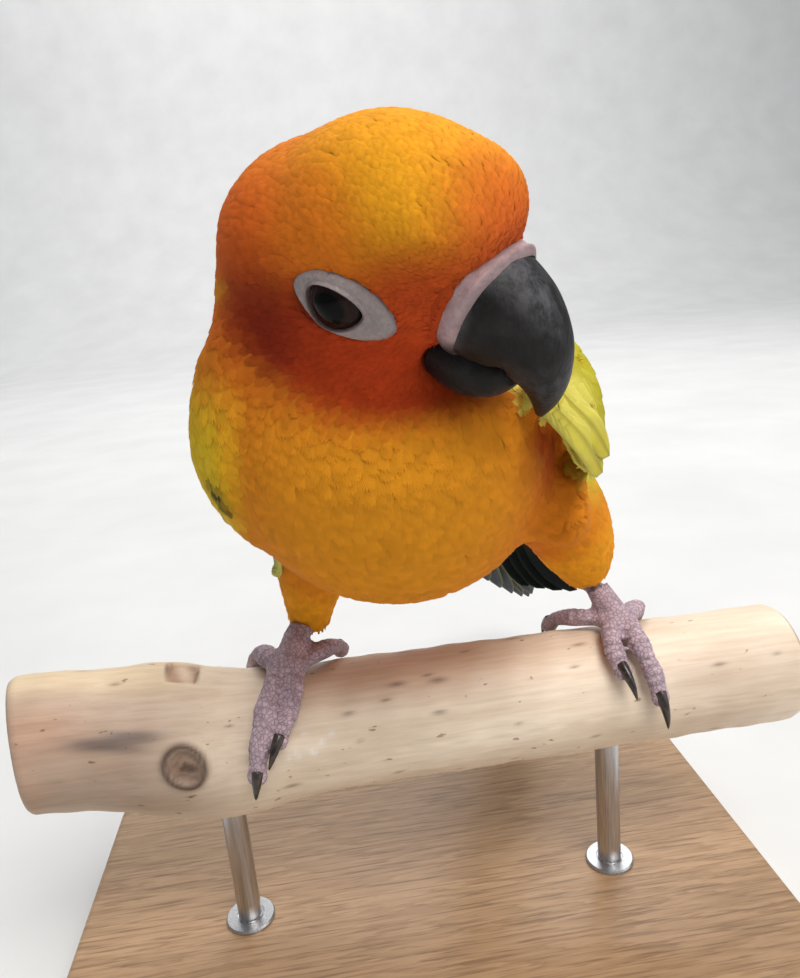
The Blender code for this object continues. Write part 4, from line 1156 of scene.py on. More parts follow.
upper_rows = bill_rows(UPPER_BILL, 64, 56, 2.25, upper_shape)
upper = grid_piece("upper_bill", upper_rows, horn_finish, (True, True))
# the pale layer on the upper bill: a strip along the ridge, partly grey bloom and partly a painted
# highlight, a paler streak low on each side, and flaky scurf at the root
forward, across, above = to_head(corners_of(upper)).T
ridge = np.exp(-((across / 3.2) ** 2)) * ease_step(-9.0, -1.0, above) * ease_step(9.0, 14.0, forward)
side_scale = 0.5 * np.exp(-((above + 12.0) / 3.0) ** 2) * ease_step(12.0, 19.0, forward)
base_scale = 2.2 * (1 - ease_step(11.5, 15.5, forward - 0.3 * above)) * ease_step(-9.0, -3.0, above)
scale = np.clip(ridge + side_scale + base_scale, 0, 2.5)
paint(upper.data, "bloom_and_highlight", np.outer(scale, (0.050, 0.050, 0.056)))
lower = grid_piece("lower_bill", bill_rows(LOWER_BILL, 30, 44, 2.2), horn_finish, (True, True))
# a faint pale band low on the lower bill
above = to_head(corners_of(lower))[:, 2]
scale = 0.4 * np.exp(-(((above + 15.0) / 1.5) ** 2))
paint(lower.data, "bloom_and_highlight", np.outer(scale, (0.05, 0.05, 0.055)))


def cere_shape(share, turn, x, y):
    """A soft roll, fuller over the nostrils."""
    roll = 0.45 * math.sin(math.pi * share) ** 0.7
    over = 0.55 * np.exp(-(((np.abs(turn - np.pi / 2) - 0.72) / 0.35) ** 2))
    over = over * math.exp(-(((share - 0.75) / 0.25) ** 2))
    grow = 1 + (roll + over) / np.maximum(np.hypot(x, y), 1e-6)
    return x * grow, y * grow


def from_nostril(side, there):
    """How far places in the head are from a nostril, 1 at its rim."""
    return np.linalg.norm((there - (NOSTRIL[0], side * NOSTRIL[1], NOSTRIL[2])) / NOSTRIL_SIZE, axis=1)


cere_rows = bill_rows(CERE, 40, 120, 2.25, cere_shape)
for rows in cere_rows:
    there = to_head(rows)
    inward = unit(np.array((11.0, 0.0, -3.5)) - there) @ HEAD
    for side in (-1, 1):
        away = from_nostril(side, there)
        sunk = 1.7 * np.exp(-((away / 0.85) ** 4)) - 0.28 * np.exp(-(((away - 1.5) / 0.5) ** 2))
        rows += inward * sunk[:, None]
cere_finish, tree, shader = new_finish(
    "cere_skin", 0.6,
    Subsurface_Weight=0.15, Subsurface_Scale=0.002, Subsurface_Radius=(1.0, 0.45, 0.4),
)
where = object_place(tree)
pores = noise(tree, where, 620.0, 6.0, 0.7)
pores = ramp(tree, pores, (0.3, (0.66, 0.60, 0.62)), (0.68, (1.18, 1.16, 1.16)))
tone = mixed(tree, "MULTIPLY", 0.75, painted(tree, "skin_tone"), pores)
tree.links.new(tone, shader.inputs["Base Color"])
bump(tree, shader, noise(tree, where, 1500.0, 4.0), 0.5, 0.0003)
cere = grid_piece("cere_band", cere_rows, cere_finish)
there = to_head(corners_of(cere))
# painted shade in the nostrils' pits
nostril_shade = [1 - ease_step(0.7, 1.25, from_nostril(side, there)) for side in (-1, 1)]
nostril_shade = np.max(nostril_shade, 0)[:, None]
front = ease_step(11.6, 12.6, there[:, 0] - 0.35 * (there[:, 2] + 4.8))[:, None]
low = 1 - ease_step(-8.0, -4.5, there[:, 2])[:, None]
colour = np.array(CERE_PALE) * (1 - low) + np.array(CERE_DARK) * low
colour = colour * (1 - 0.35 * front)
paint(cere.data, "skin_tone", colour * (1 - nostril_shade) + np.array(NOSTRIL_SHADE_COLOUR) * nostril_shade)
bill_pieces = (
    (upper, "bill_horn", "bill_upper"),
    (lower, "bill_horn", "bill_lower"),
    (cere, "bare_skin", "cere"),
)
for piece, slot_name, node in bill_pieces:
    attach(piece, "root")
    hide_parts(node)

# Feet and claws

# Bare purplish-grey feet, two toes forward and two back, in small horny scales that run as
# bands over the top of each toe. Each toe ends in a dark curved claw.

# radius at the middle, change along a millimetre, and how far the axis lifts at the knotty end
BRANCH_RADIUS, BRANCH_TAPER, BRANCH_RISE = 12.6, -0.006, 5.0
# x, angle up from the front, height, spread along, spread round (degrees)
BRANCH_BUMPS = (
    (-44.0, 12.0, 1.6, 9.0, 32.0), (-40.0, -70.0, 2.6, 15.0, 45.0),
    (-46.0, 100.0, 2.8, 13.0, 30.0), (-70.0, 80.0, 1.0, 14.0, 40.0),
)
PALMS, PALM_LIFT = {"right": (-22.6, 80.0), "left": (44.6, 88.0)}, 2.7
# toe: points as (x, angle round the branch), and its radius
TOES = {
    "right_inner_front": (((-21.4, 72.0), (-22.0, 50.0), (-24.0, 34.0), (-25.2, 24.0)), 2.3),
    "right_outer_front": (((-24.6, 70.0), (-27.0, 45.0), (-28.6, 22.0), (-29.6, 3.0)), 2.4),
    "right_outer_back": (((-26.2, 92.0), (-28.4, 122.0), (-31.0, 152.0), (-33.0, 176.0)), 2.5),
    "right_inner_back": (((-19.0, 88.0), (-15.4, 102.0), (-13.0, 120.0), (-12.0, 136.0)), 2.3),
    "left_inner_front": (((42.8, 78.0), (41.2, 62.0), (41.2, 48.0), (41.6, 38.0)), 2.3),
    "left_outer_front": (((46.2, 76.0), (46.4, 56.0), (47.4, 32.0), (47.8, 16.0)), 2.4),
    "left_outer_back": (((48.2, 94.0), (52.0, 116.0), (53.6, 146.0), (54.6, 170.0)), 2.3),
    "left_inner_back": (((41.0, 94.0), (37.0, 104.0), (34.6, 124.0), (34.0, 142.0)), 2.2),
}
# how much fuller the feet are made before they are joined at a voxel size, and a knee's radius
FOOT_SWELL, FOOT_VOXEL, KNEE_RADIUS = 0.35, 0.42, 3.2
# length and height of a band of scales, and how far the joined feet are drawn in
BAND_LENGTH, BAND_HEIGHT, FOOT_SHRINK = 1.55, 0.26, 0.42
# the scales' colour, and the creases between their bands painted darker, partly darker skin and partly
# painted shade
SCALE_COLOUR, CREASE_TONE_AND_SHADE = (0.58, 0.45, 0.505), (0.30, 0.225, 0.25)


def turned_from(angle, at):
    """Degrees round the branch from one angle to others, from -180 to 180."""
    return (angle - at + 180.0) % 360.0 - 180.0


def branch_axis(x):
    """Height of the branch's axis, which lifts towards the knotty end."""
    share = np.clip((-30.0 - x) / 47.0, 0.0, 1.0)
    return BRANCH_RISE * share * share * (3 - 2 * share)


def on_branch(x, angle, off):
    """Places off the branch's surface."""
    x, angle = np.asarray(x, float), np.asarray(angle, float)
    reach = BRANCH_RADIUS + BRANCH_TAPER * x + off
    for at, turn, height, along, wide in BRANCH_BUMPS:
        away = turned_from(angle, turn)
        reach = reach + height * np.exp(-(((x - at) / along) ** 2) - (away / wide) ** 2)
    a = np.radians(angle)
    return np.stack((x, -reach * np.cos(a), reach * np.sin(a) + branch_axis(x)), -1)


def toe_line(route, thick, foot):
    """The middle line of a toe, from the palm to the claw."""
    palm = on_branch(*PALMS[foot], PALM_LIFT)
    places = [on_branch(x, angle, thick * 1.02 + 0.3) for x, angle in route]
    places.insert(0, palm + (places[0] - palm) * 0.35)
    return spline(places, np.linspace(0, len(places) - 1, 60))


foot_finish, tree, shader = new_finish("scaly_foot_skin", 0.62, Specular_IOR_Level=0.35)
where = object_place(tree)
to_edge = {"feature": "DISTANCE_TO_EDGE"}
cells = add_node(tree, "ShaderNodeTexVoronoi", to_edge, Vector=where, Scale=1150.0)
crack = ramp(tree, cells.outputs["Distance"], (0.0, (0.42, 0.40, 0.42)), (0.16, (1.0, 1.0, 1.0)))
blotch = ramp(tree, noise(tree, where, 420.0), (0.3, (0.74, 0.72, 0.74)), (0.7, (1.15, 1.12, 1.12)))
tone = mixed(tree, "MULTIPLY", 0.75, painted(tree, "skin_tone"), crack)
tree.links.new(mixed(tree, "MULTIPLY", 1.0, tone, blotch), shader.inputs["Base Color"])
bump(tree, shader, maths(tree, "MINIMUM", cells.outputs["Distance"], 0.16), 0.6, 0.0008)

for side, foot in ((-1, "right"), (1, "left")):
    toes = [toe for toe in TOES if toe.startswith(foot)]
    names = [f"shank_{foot}"] + [f"toe_{toe}" for toe in toes]
    bm = bmesh.new()
    for node in names:
        bm.from_mesh(nodes[node].data)
    bmesh.ops.remove_doubles(bm, verts=bm.verts, dist=1e-6)
    bm.normal_update()
    knee = Matrix.Translation(to_world(LEGS[side][-1][:3])) @ Matrix.Diagonal((1, 1, 1.5, 1))
    bmesh.ops.create_icosphere(bm, subdivisions=2, radius=KNEE_RADIUS * MM, matrix=knee)
    bm.normal_update()
    thicken(bm, FOOT_SWELL)
    skin_of_foot = add_piece(f"foot_skin_{foot}", bm, foot_finish)
    make_one(skin_of_foot, FOOT_VOXEL, 5)
    mesh = skin_of_foot.data
    mesh.materials.clear()
    mesh.materials.append(foot_finish)
    mesh.shade_smooth()
    places = corners_of(skin_of_foot)
    ways = np.empty(len(mesh.vertices) * 3)
    mesh.vertices.foreach_get("normal", ways)
    ways = ways.reshape(-1, 3)
    # the toe that each place is on, and how far along it the place is
    nearest, along = np.full(len(places), np.inf), np.zeros(len(places))
    for toe in toes:
        line = toe_line(*TOES[toe], foot)
        gone = np.concatenate(([0.0], np.cumsum(np.linalg.norm(np.diff(line, axis=0), axis=1))))
        away = np.linalg.norm(places[:, None] - line[None], axis=-1)
        closer = away.min(1) < nearest
        along = np.where(closer, gone[away.argmin(1)], along)
        nearest = np.where(closer, away.min(1), nearest)
    axis = np.stack((places[:, 0], np.zeros(len(places)), branch_axis(places[:, 0])), 1)
    upper_side = ease_step(-0.2, 0.5, np.sum(unit(places - axis) * ways, 1))
    on_toe = ease_step(1.5, 4.0, along)
    band = np.abs(np.sin(np.pi * along / BAND_LENGTH)) ** 0.6
    creased = band * upper_side * on_toe
    places = places + (BAND_HEIGHT * creased - FOOT_SHRINK)[:, None] * ways
    mesh.vertices.foreach_set("co", to_world(places).ravel())
    mesh.update()
    # the creases between the bands of scales are painted darker, partly darker skin and partly painted
    # shade
    share = (0.35 + 0.65 * np.where(on_toe * upper_side > 0.3, band, 0.75))[:, None]
    paint(mesh, "skin_tone", np.array(CREASE_TONE_AND_SHADE) * (1 - share) + np.array(SCALE_COLOUR) * share)
    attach(skin_of_foot, "root")
    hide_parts(*names)

claw_finish, tree, shader = new_finish("claw_horn", 0.25, Specular_IOR_Level=0.6)
streak = noise(tree, object_place(tree), 900.0, 5.0)
dark_horn = ramp(tree, streak, (0.3, (0.010, 0.008, 0.008)), (0.75, (0.070, 0.050, 0.040)))
tree.links.new(dark_horn, shader.inputs["Base Color"])
bump(tree, shader, streak, 0.15, 0.0002)
# a claw's length, its radius at the root and its turn in degrees over all its steps
CLAW_LENGTH, CLAW_RADIUS, CLAW_TURN, CLAW_STEPS = 7.1, 1.3, 60.0, 22
# two claws are worn shorter
CLAW_WEAR = {"right_outer_front": 1.8, "right_inner_front": 0.8}
for toe, route in TOES.items():
    line = toe_line(*route, toe.split("_")[0])
    tip = line[-1]
    ahead = unit(line[-1] - line[-8])
    out = unit(tip - np.array((tip[0], 0.0, branch_axis(route[0][-1][0]))))
    out = unit(out - ahead * ahead.dot(out))
    across = np.cross(ahead, out)
    heading = unit(ahead + out * 0.55)
    place = tip + out * 0.7 - ahead * 0.9
    length = CLAW_LENGTH - CLAW_WEAR.get(toe, 0.0)
    rows = []
    turn = around(14)
    spin = Matrix.Rotation(math.radians(CLAW_TURN / CLAW_STEPS), 3, Vector(across))
    if (spin @ Vector(heading)).dot(Vector(out)) > Vector(heading).dot(Vector(out)):
        spin = spin.inverted()
    for k in range(CLAW_STEPS + 1):
        radius = CLAW_RADIUS * (1 - k / CLAW_STEPS) ** 0.75 + 0.10
        lift = unit(np.cross(across, heading))
        level = place + across * (radius * 0.85 * np.cos(turn))[:, None]
        rows.append(level + lift * (radius * 1.12 * np.sin(turn))[:, None])
        place = place + heading * (length / CLAW_STEPS)
        heading = np.array(spin @ Vector(heading))
    claw = grid_piece(f"claw_horn_{toe}", rows, claw_finish, (True, True))
    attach(claw, "root")
    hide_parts(f"claw_{toe}")

# Branch

# A short cut length of pale peeled wood, sawn at both ends, with the scar of a side twig, an
# old notch on top, a grey stain, a few flecks of bark and a few white specks.

# the places of the branch's ends, and how far the knotty one is turned out of square
BRANCH_ENDS, END_TURN = (-76.0, 80.0), 3.0
BRANCH_SIDES, BRANCH_STEPS = 180, 240
# place along, angle and radius of the knot, and radius of the wood there
KNOT, KNOT_ROUND = (-42.6, 11.0, 3.6), 14.0
# place along, angle, half length and half width of the notch
NOTCH = (-43.2, 92.0, 3.0, 14.0)
WOOD_COLOUR = (0.92, 0.79, 0.63)
# soft patches: place along, angle, half length, half width, sharpness of edge, colour, strength
WOOD_PATCHES = (
    (-62, 20, 26, 80, 4, (0.43, 0.315, 0.24), 0.95),
    (-62, 95, 22, 24, 4, (0.70, 0.56, 0.35), 0.8),
    (-74, -20, 6, 60, 2, (0.46, 0.27, 0.17), 0.6),
    (-68, 40, 8, 20, 2, (0.60, 0.34, 0.23), 0.5),
    (-4, 66, 20, 22, 2, (0.70, 0.50, 0.36), 0.6),
    (8, 20, 34, 18, 2, (0.88, 0.76, 0.60), 0.5),
    (-2, 90, 90, 22, 2, (0.68, 0.52, 0.38), 0.45),
    (64, 20, 20, 60, 2, (0.62, 0.47, 0.36), 0.6),
    (-57, 28, 6.2, 5.6, 3, (0.17, 0.13, 0.12), 0.85),
    (-51.5, 34, 5.2, 5.0, 3, (0.15, 0.115, 0.105), 0.8),
    (-53, 25, 3.4, 3.0, 2, (0.22, 0.16, 0.14), 0.6),
)


def from_knot(x, angle):
    """Millimetres along and round the branch from the knot's middle."""
    return x - KNOT[0], turned_from(angle, KNOT[1]) * np.pi / 180 * KNOT_ROUND


def from_notch(x, angle):
    """Distance along and round the branch from the notch's middle, 1 at its sides."""
    return np.abs(x - NOTCH[0]) / NOTCH[2], np.abs(turned_from(angle, NOTCH[1])) / NOTCH[3]


turn = np.linspace(0, 360, BRANCH_SIDES + 1)[:-1]
rows = []
for k in range(BRANCH_STEPS + 1):
    share = k / BRANCH_STEPS
    x = BRANCH_ENDS[0] + (BRANCH_ENDS[1] - BRANCH_ENDS[0]) * share
    x = x + END_TURN * np.cos(np.radians(turn)) * (1 - share) ** 3
    edge = -0.7 * max(0.0, 1 - min(k, BRANCH_STEPS - k) / 1.5)
    wave = 0.10 * np.sin(x * 0.31 + turn * 0.035) + 0.07 * np.sin(x * 0.83 - turn * 0.06)
    wave = wave + 0.05 * np.sin(np.radians(turn) * 7 + x * 0.05)
    away_x, away_y = from_knot(x, turn)
    knot = np.hypot(away_x, away_y * 0.95)
    scar = 0.75 * np.exp(-(((knot - KNOT[2]) / 0.75) ** 2))
    scar = scar - 0.9 * (1 - ease_step(KNOT[2] - 1.4, KNOT[2] - 0.4, knot))
    scar = scar + 0.35 * np.exp(-((knot / 1.6) ** 2))
    beside, over = from_notch(x, turn)
    notch = -1.3 * (1 - ease_step(0.75, 1.05, beside)) * (1 - ease_step(0.75, 1.05, over))
    rows.append(on_branch(x, turn, edge + wave + scar + notch))
for which in (0, -1):
    rim = rows[which]
    middle = rim.mean(0)
    inward = [middle + (rim - middle) * share for share in (0.9, 0.72, 0.5, 0.25, 0.03)]
    rows = inward[::-1] + rows if which == 0 else rows + inward

wood_finish, tree, shader = new_finish("peeled_wood", 0.5, Specular_IOR_Level=0.35)
grain = noise(tree, object_place(tree, (0.07, 1.0, 1.0)), 900.0, 6.0, 0.6)
broad = noise(tree, object_place(tree, (0.25, 1.0, 1.0)), 90.0, 3.0)
flecks = noise(tree, object_place(tree, (0.5, 1.0, 1.0)), 620.0, 2.0)
streaks = ramp(tree, grain, (0.32, (0.90, 0.87, 0.84)), (0.6, (1.02, 1.02, 1.02)))
patches = ramp(tree, broad, (0.35, (0.86, 0.82, 0.77)), (0.65, (1.06, 1.06, 1.06)))
bark = ramp(tree, flecks, (0.27, (0.45, 0.34, 0.27)), (0.31, (1.0, 1.0, 1.0)))
tone = painted(tree, "wood_tone")
for share, layer in ((1.0, streaks), (1.0, patches), (0.8, bark)):
    tone = mixed(tree, "MULTIPLY", share, tone, layer)
tree.links.new(tone, shader.inputs["Base Color"])
bump(tree, shader, grain, 0.3, 0.0004)
branch = grid_piece("branch_wood", rows, wood_finish, (True, True))
places = corners_of(branch)
x, high = places[:, 0], places[:, 2] - branch_axis(places[:, 0])
angle = np.degrees(np.arctan2(high, -places[:, 1]))
reach = np.hypot(places[:, 1], high)


def blob(at, turn, long_, wide, power=2.0):
    """A soft patch round a place on the branch."""
    away = turned_from(angle, turn)
    return np.exp(-(np.abs((x - at) / long_) ** power) - np.abs(away / wide) ** power)


# the layers of colour on the wood: where each is, its colour and its strength
layers = [(blob(*patch), colour, strength) for *patch, colour, strength in WOOD_PATCHES]
away_x, away_y = from_knot(x, angle)
knot = np.hypot(away_x, away_y * 0.95)
heart = np.hypot(away_x - 0.5, away_y * 1.3 + 0.3) + 0.35 * np.sin(3 * np.arctan2(away_y, away_x))
beside, over = from_notch(x, angle)
inside = (1 - ease_step(0.8, 1.0, beside)) * (1 - ease_step(0.85, 1.0, over))
sides_of_notch = np.exp(-(((beside - 0.95) / 0.12) ** 2)) * (over < 1)
layers += [
    (np.exp(-(((knot - KNOT[2]) / 0.7) ** 2)), (0.085, 0.045, 0.030), 0.95),
    (1 - ease_step(KNOT[2] - 1.0, KNOT[2] - 0.4, knot), (0.27, 0.18, 0.13), 0.9),
    (1 - ease_step(0.8, 1.9, heart), (0.085, 0.045, 0.032), 0.85),
    (np.exp(-(((heart - 2.6) / 0.28) ** 2)), (0.13, 0.075, 0.05), 0.5),
    (inside * (0.6 + 0.4 * np.sin(x * 1.3 + angle * 0.11)), (0.36, 0.20, 0.13), 0.85),
    (sides_of_notch * (0.55 + 0.45 * np.sin(x * 0.9 - angle * 0.21)), (0.10, 0.05, 0.03), 0.8),
]
spots = np.random.default_rng(8)
for _ in range(9):
    at, turn_at, size = spots.uniform(-24, -13), spots.uniform(2, 26), spots.uniform(0.35, 0.6)
    layers.append((blob(at, turn_at, size, size * 3.6), (1.0, 0.99, 0.94), 0.9))
for _ in range(34):
    at, turn_at, size = spots.uniform(-70, 78), spots.uniform(-80, 110), spots.uniform(0.3, 0.8)
    layers.append((blob(at, turn_at, size * 2.2, size * 3.0), (0.17, 0.105, 0.07), 0.7))
at_end = (x < BRANCH_ENDS[0] + END_TURN + 0.6) | (x > BRANCH_ENDS[1] - 0.3)
inner = np.clip(1 - reach / 12.0, 0, 1)
rings_of_growth = 0.5 + 0.5 * np.sin(reach * 3.4 + 0.6 * np.sin(np.radians(angle) * 3))
sawn = at_end & (reach < 12.2)
layers += [
    (sawn.astype(float), (0.50, 0.36, 0.24), 0.8),
    (sawn * rings_of_growth, (0.32, 0.20, 0.12), 0.55),
    (sawn * (inner > 0.9), (0.12, 0.07, 0.05), 0.8),
]
tone = np.tile(WOOD_COLOUR, (len(places), 1))
for mask, colour, strength in layers:
    mask = np.clip(mask, 0, 1)[:, None] * strength
    tone = tone * (1 - mask) + np.array(colour) * mask
paint(branch.data, "wood_tone", np.clip(tone, 0, 1))
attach(branch, "root")
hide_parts("perch")

# Stand

# A flat varnished board with eased edges and two short brushed steel rods, each seated in a
# thin steel washer on the board and let into the underside of the branch.

# the board's size, corner radius and eased edge, then the rods' places and radius
BASE_SIZE, BASE_CORNER, BASE_EDGE = (150.0, 92.0, 12.0), 2.0, 1.2
ROD_X, ROD_RADIUS = (-38.0, 42.0), 2.5
SHARP = math.radians(35)


def ease_edges(bm, edges, width, segments):
    """Rounds some edges of a bmesh."""
    bmesh.ops.bevel(
        bm, geom=edges, offset=width * MM, segments=segments, profile=0.5, affect="EDGES", material=-1
    )


board_finish, tree, shader = new_finish("varnished_board", 0.38, Coat_Weight=0.25, Coat_Roughness=0.25)
figure = noise(tree, object_place(tree, (0.10, 1.0, 1.0)), 130.0, 5.0, 0.6)
pores = noise(tree, object_place(tree, (0.04, 1.0, 1.0)), 1500.0, 3.0)
bands = maths(tree, "FRACT", maths(tree, "MULTIPLY", figure, 9.0))
shades = ramp(
    tree, bands,
    (0.0, (0.34, 0.205, 0.105)), (0.75, (0.44, 0.275, 0.15)), (1.0, (0.30, 0.175, 0.085)),
)
flecks = ramp(tree, pores, (0.36, (0.55, 0.5, 0.45)), (0.5, (1.05, 1.05, 1.05)))
tree.links.new(mixed(tree, "MULTIPLY", 0.7, shades, flecks), shader.inputs["Base Color"])
bump(tree, shader, pores, 0.15, 0.0002)
bm = bmesh.new()
bmesh.ops.create_cube(bm, size=1.0)
bmesh.ops.scale(bm, vec=[v * MM for v in BASE_SIZE], verts=bm.verts)
bmesh.ops.translate(bm, vec=(0.0, 0.0, BASE_SIZE[2] / 2 * MM), verts=bm.verts)
ease_edges(bm, [e for e in bm.edges if abs(e.verts[0].co.z - e.verts[1].co.z) > MM], BASE_CORNER, 6)
ease_edges(bm, [e for e in bm.edges if e.calc_face_angle(0) > 1.0], BASE_EDGE, 4)
board = add_piece("display_board", bm, board_finish)
board.data.set_sharp_from_angle(angle=SHARP)
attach(board, "root")
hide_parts("stand_base")

steel_finish, tree, shader = new_finish("brushed_steel", 0.32, Metallic=1.0)
lines = noise(tree, object_place(tree, (1.0, 1.0, 0.03)), 4000.0, 2.0)
brushed = ramp(tree, lines, (0.3, (0.40, 0.40, 0.41)), (0.7, (0.62, 0.62, 0.63)))
tree.links.new(brushed, shader.inputs["Base Color"])
bump(tree, shader, lines, 0.12, 0.0001)
for number, at in enumerate(ROD_X, 1):
    top = on_branch(at, -90.0, -2.0)[2]
    bottom = BASE_SIZE[2] - BRANCH_HEIGHT
    # the washer, then the rod, as radius and height from the middle of the foot to the top
    washer = ((0.02, -1.0), (5.2, -1.0), (5.2, 0.55), (4.95, 0.9), (2.95, 0.9), (2.9, 0.7))
    profile = [(r, bottom + z) for r, z in washer]
    profile += [(ROD_RADIUS, z) for z in (bottom + 0.65, bottom + 6.0, top - 6.0, top)] + [(0.02, top)]
    turn = around(48)
    rows = [np.stack((at + r * np.cos(turn), r * np.sin(turn), np.full(48, z)), 1) for r, z in profile]
    rod = grid_piece(f"steel_rod_{number}", rows, steel_finish, (True, True))
    rod.data.set_sharp_from_angle(angle=SHARP)
    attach(rod, "root")
    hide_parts(f"stand_rod_{number}")

# Flight feathers and coverts

# Each folded wing carries long stiff flight feathers, dark blue-green towards their tips, under
# rows of shorter yellow and green coverts, all rooted in the arm and lapping like shingles.

# corners along and across a stiff feather, and its thickness
BLADE_ROWS, BLADE_COLUMNS = 15, 7
BLADE_THICK = 0.22


def blade_faces():
    """Faces of one thin closed feather: upper sheet, under sheet and the edge between them."""
    n, m = BLADE_ROWS, BLADE_COLUMNS
    under = n * m
    faces = []
    for r in range(n - 1):
        for c in range(m - 1):
            a, b, d, e = r * m + c, r * m + c + 1, (r + 1) * m + c, (r + 1) * m + c + 1
            faces += [(a, b, e, d), (under + d, under + e, under + b, under + a)]
        for c, flip in ((0, False), (m - 1, True)):
            a, d = r * m + c, (r + 1) * m + c
            edge = (a, d, under + d, under + a)
            faces.append(tuple(reversed(edge)) if flip else edge)
    for c in range(m - 1):
        faces.append((c + 1, c, under + c, under + c + 1))
        a = (n - 1) * m + c
        faces.append((a, a + 1, under + a + 1, under + a))
    return faces


def blade(line, ways, half_width, tilt, camber, point, rng):
    """Corners of one feather along a line, and each corner's place across and along it."""
    along = np.linspace(0, 1, len(line))
    run = unit(np.gradient(line, axis=0))
    side = unit(np.cross(run, ways))
    lift = unit(np.cross(side, run))
    c, s = math.cos(math.radians(tilt)), math.sin(math.radians(tilt))
    side, lift = side * c + lift * s, lift * c - side * s
    wide = 0.5 + 0.5 * ease_step(0.0, 0.35, along)
    end = np.clip((along - (1 - point)) / point, 0, 1)
    wide = wide * np.sqrt(np.maximum(1 - end**2.2, 0.004))
    for at in rng.uniform(0.35, 0.95, 2):
        wide = wide * (1 - rng.uniform(0.02, 0.12) * np.exp(-(((along - at) / 0.02) ** 2)))
    across = np.linspace(-1, 1, BLADE_COLUMNS)
    out = across[None, :, None] * (half_width * wide)[:, None, None]
    shaft = 0.22 * np.exp(-((across / 0.12) ** 2))
    bend = (-camber * across**2)[None, :] * half_width * wide[:, None]
    bend = bend + shaft[None, :] * (1 - 0.7 * along[:, None])
    top = line[:, None] + side[:, None] * out + lift[:, None] * bend[..., None]
    under = top - lift[:, None] * BLADE_THICK
    u, v = np.meshgrid(across, along)
    spots = np.stack((u, v), -1).reshape(-1, 2)
    return np.concatenate((top.reshape(-1, 3), under.reshape(-1, 3))), np.tile(spots, (2, 1))


def web_colours(spots, colours, rng):
    """Colours over one feather from those of its outer web, inner web, tip and edge."""
    outer, inner, tip, edge, tip_at = colours
    u, v = spots[:, 0:1], spots[:, 1:2]
    web = ease_step(-0.15, 0.15, u)
    tone = np.array(inner) * (1 - web) + np.array(outer) * web
    far = ease_step(tip_at - 0.14, tip_at + 0.14, v + 0.12 * np.abs(u))
    tone = tone * (1 - far) + np.array(tip) * far
    rim = ease_step(0.72, 0.98, np.abs(u))
    tone = tone * (1 - 0.6 * rim) + np.array(edge) * 0.6 * rim
    shaft = np.exp(-((u / 0.07) ** 2))
    tone = tone * (1 - 0.35 * shaft)
    return np.clip(tone * rng.normal(1.0, 0.06), 0, 1)


def feather_set(name, feathers, finish, seed):
    """One joined piece from rows of line, outward ways, half width, tilt, camber, point, colours."""
    rng = np.random.default_rng(seed)
    corners, tones, maps, patches = [], [], [], []
    cells = math.ceil(math.sqrt(len(feathers)))
    for number, (line, ways, half_width, tilt, camber, point, colours) in enumerate(feathers):
        places, spots = blade(line, ways, half_width, tilt, camber, point, rng)
        corners.append(places)
        tones.append(web_colours(spots, colours, rng))
        vane = np.stack((spots[:, 0] * 0.5 + 0.5, spots[:, 1]), 1)
        maps.append(vane)
        half = len(spots) // 2
        sheet = vane * (0.44, 0.92) + (0.03, 0.04)
        sheet[half:, 0] += 0.5
        patches.append((sheet + (number % cells, number // cells)) / cells)
    per = len(corners[0])
    verts = np.concatenate(corners)
    obj, loops = mesh_from(name, to_world(verts), blade_faces(), len(feathers), per, finish)
    store(obj.data, loops, np.concatenate(tones), np.concatenate(maps), np.concatenate(patches))
    return obj


def lying_line(side, root, tip, low, high):
    """A stiff line from root to tip over the skin, held from low to high above it."""
    s = np.linspace(0, 1, BLADE_ROWS)
    t = root[0] + (tip[0] - root[0]) * s
    angle = root[1] + (tip[1] - root[1]) * s
    start = on_wing(t, angle, np.full(BLADE_ROWS, 7.0), side)[0]
    beyond = ease_step(4.2, 5.0, t)
    ground, ways = hug(start)
    body, body_out = on_body(t, angle, np.full(BLADE_ROWS, 1.0), side)
    ground = ground * (1 - beyond[:, None]) + body * beyond[:, None]
    ways = unit(ways * (1 - beyond[:, None]) + body_out * beyond[:, None])
    line = ground + ways * (low + (high - low) * s)[:, None]
    line = np.stack([np.polyval(np.polyfit(s, line[:, k], 3), s) for k in range(3)], 1)
    ways = np.stack([np.polyval(np.polyfit(s, ways[:, k], 1), s) for k in range(3)], 1)
    return line, unit(ways)


LEMON, YELLOW = (0.56, 0.49, 0.035), (0.64, 0.46, 0.020)
GREEN, DEEP_GREEN, BLUE_BLACK = (0.16, 0.22, 0.020), (0.045, 0.095, 0.018), (0.010, 0.016, 0.022)
EDGE_GREEN, EDGE_LEMON, DULL_GREEN = (0.20, 0.24, 0.06), (0.50, 0.44, 0.04), (0.03, 0.07, 0.03)
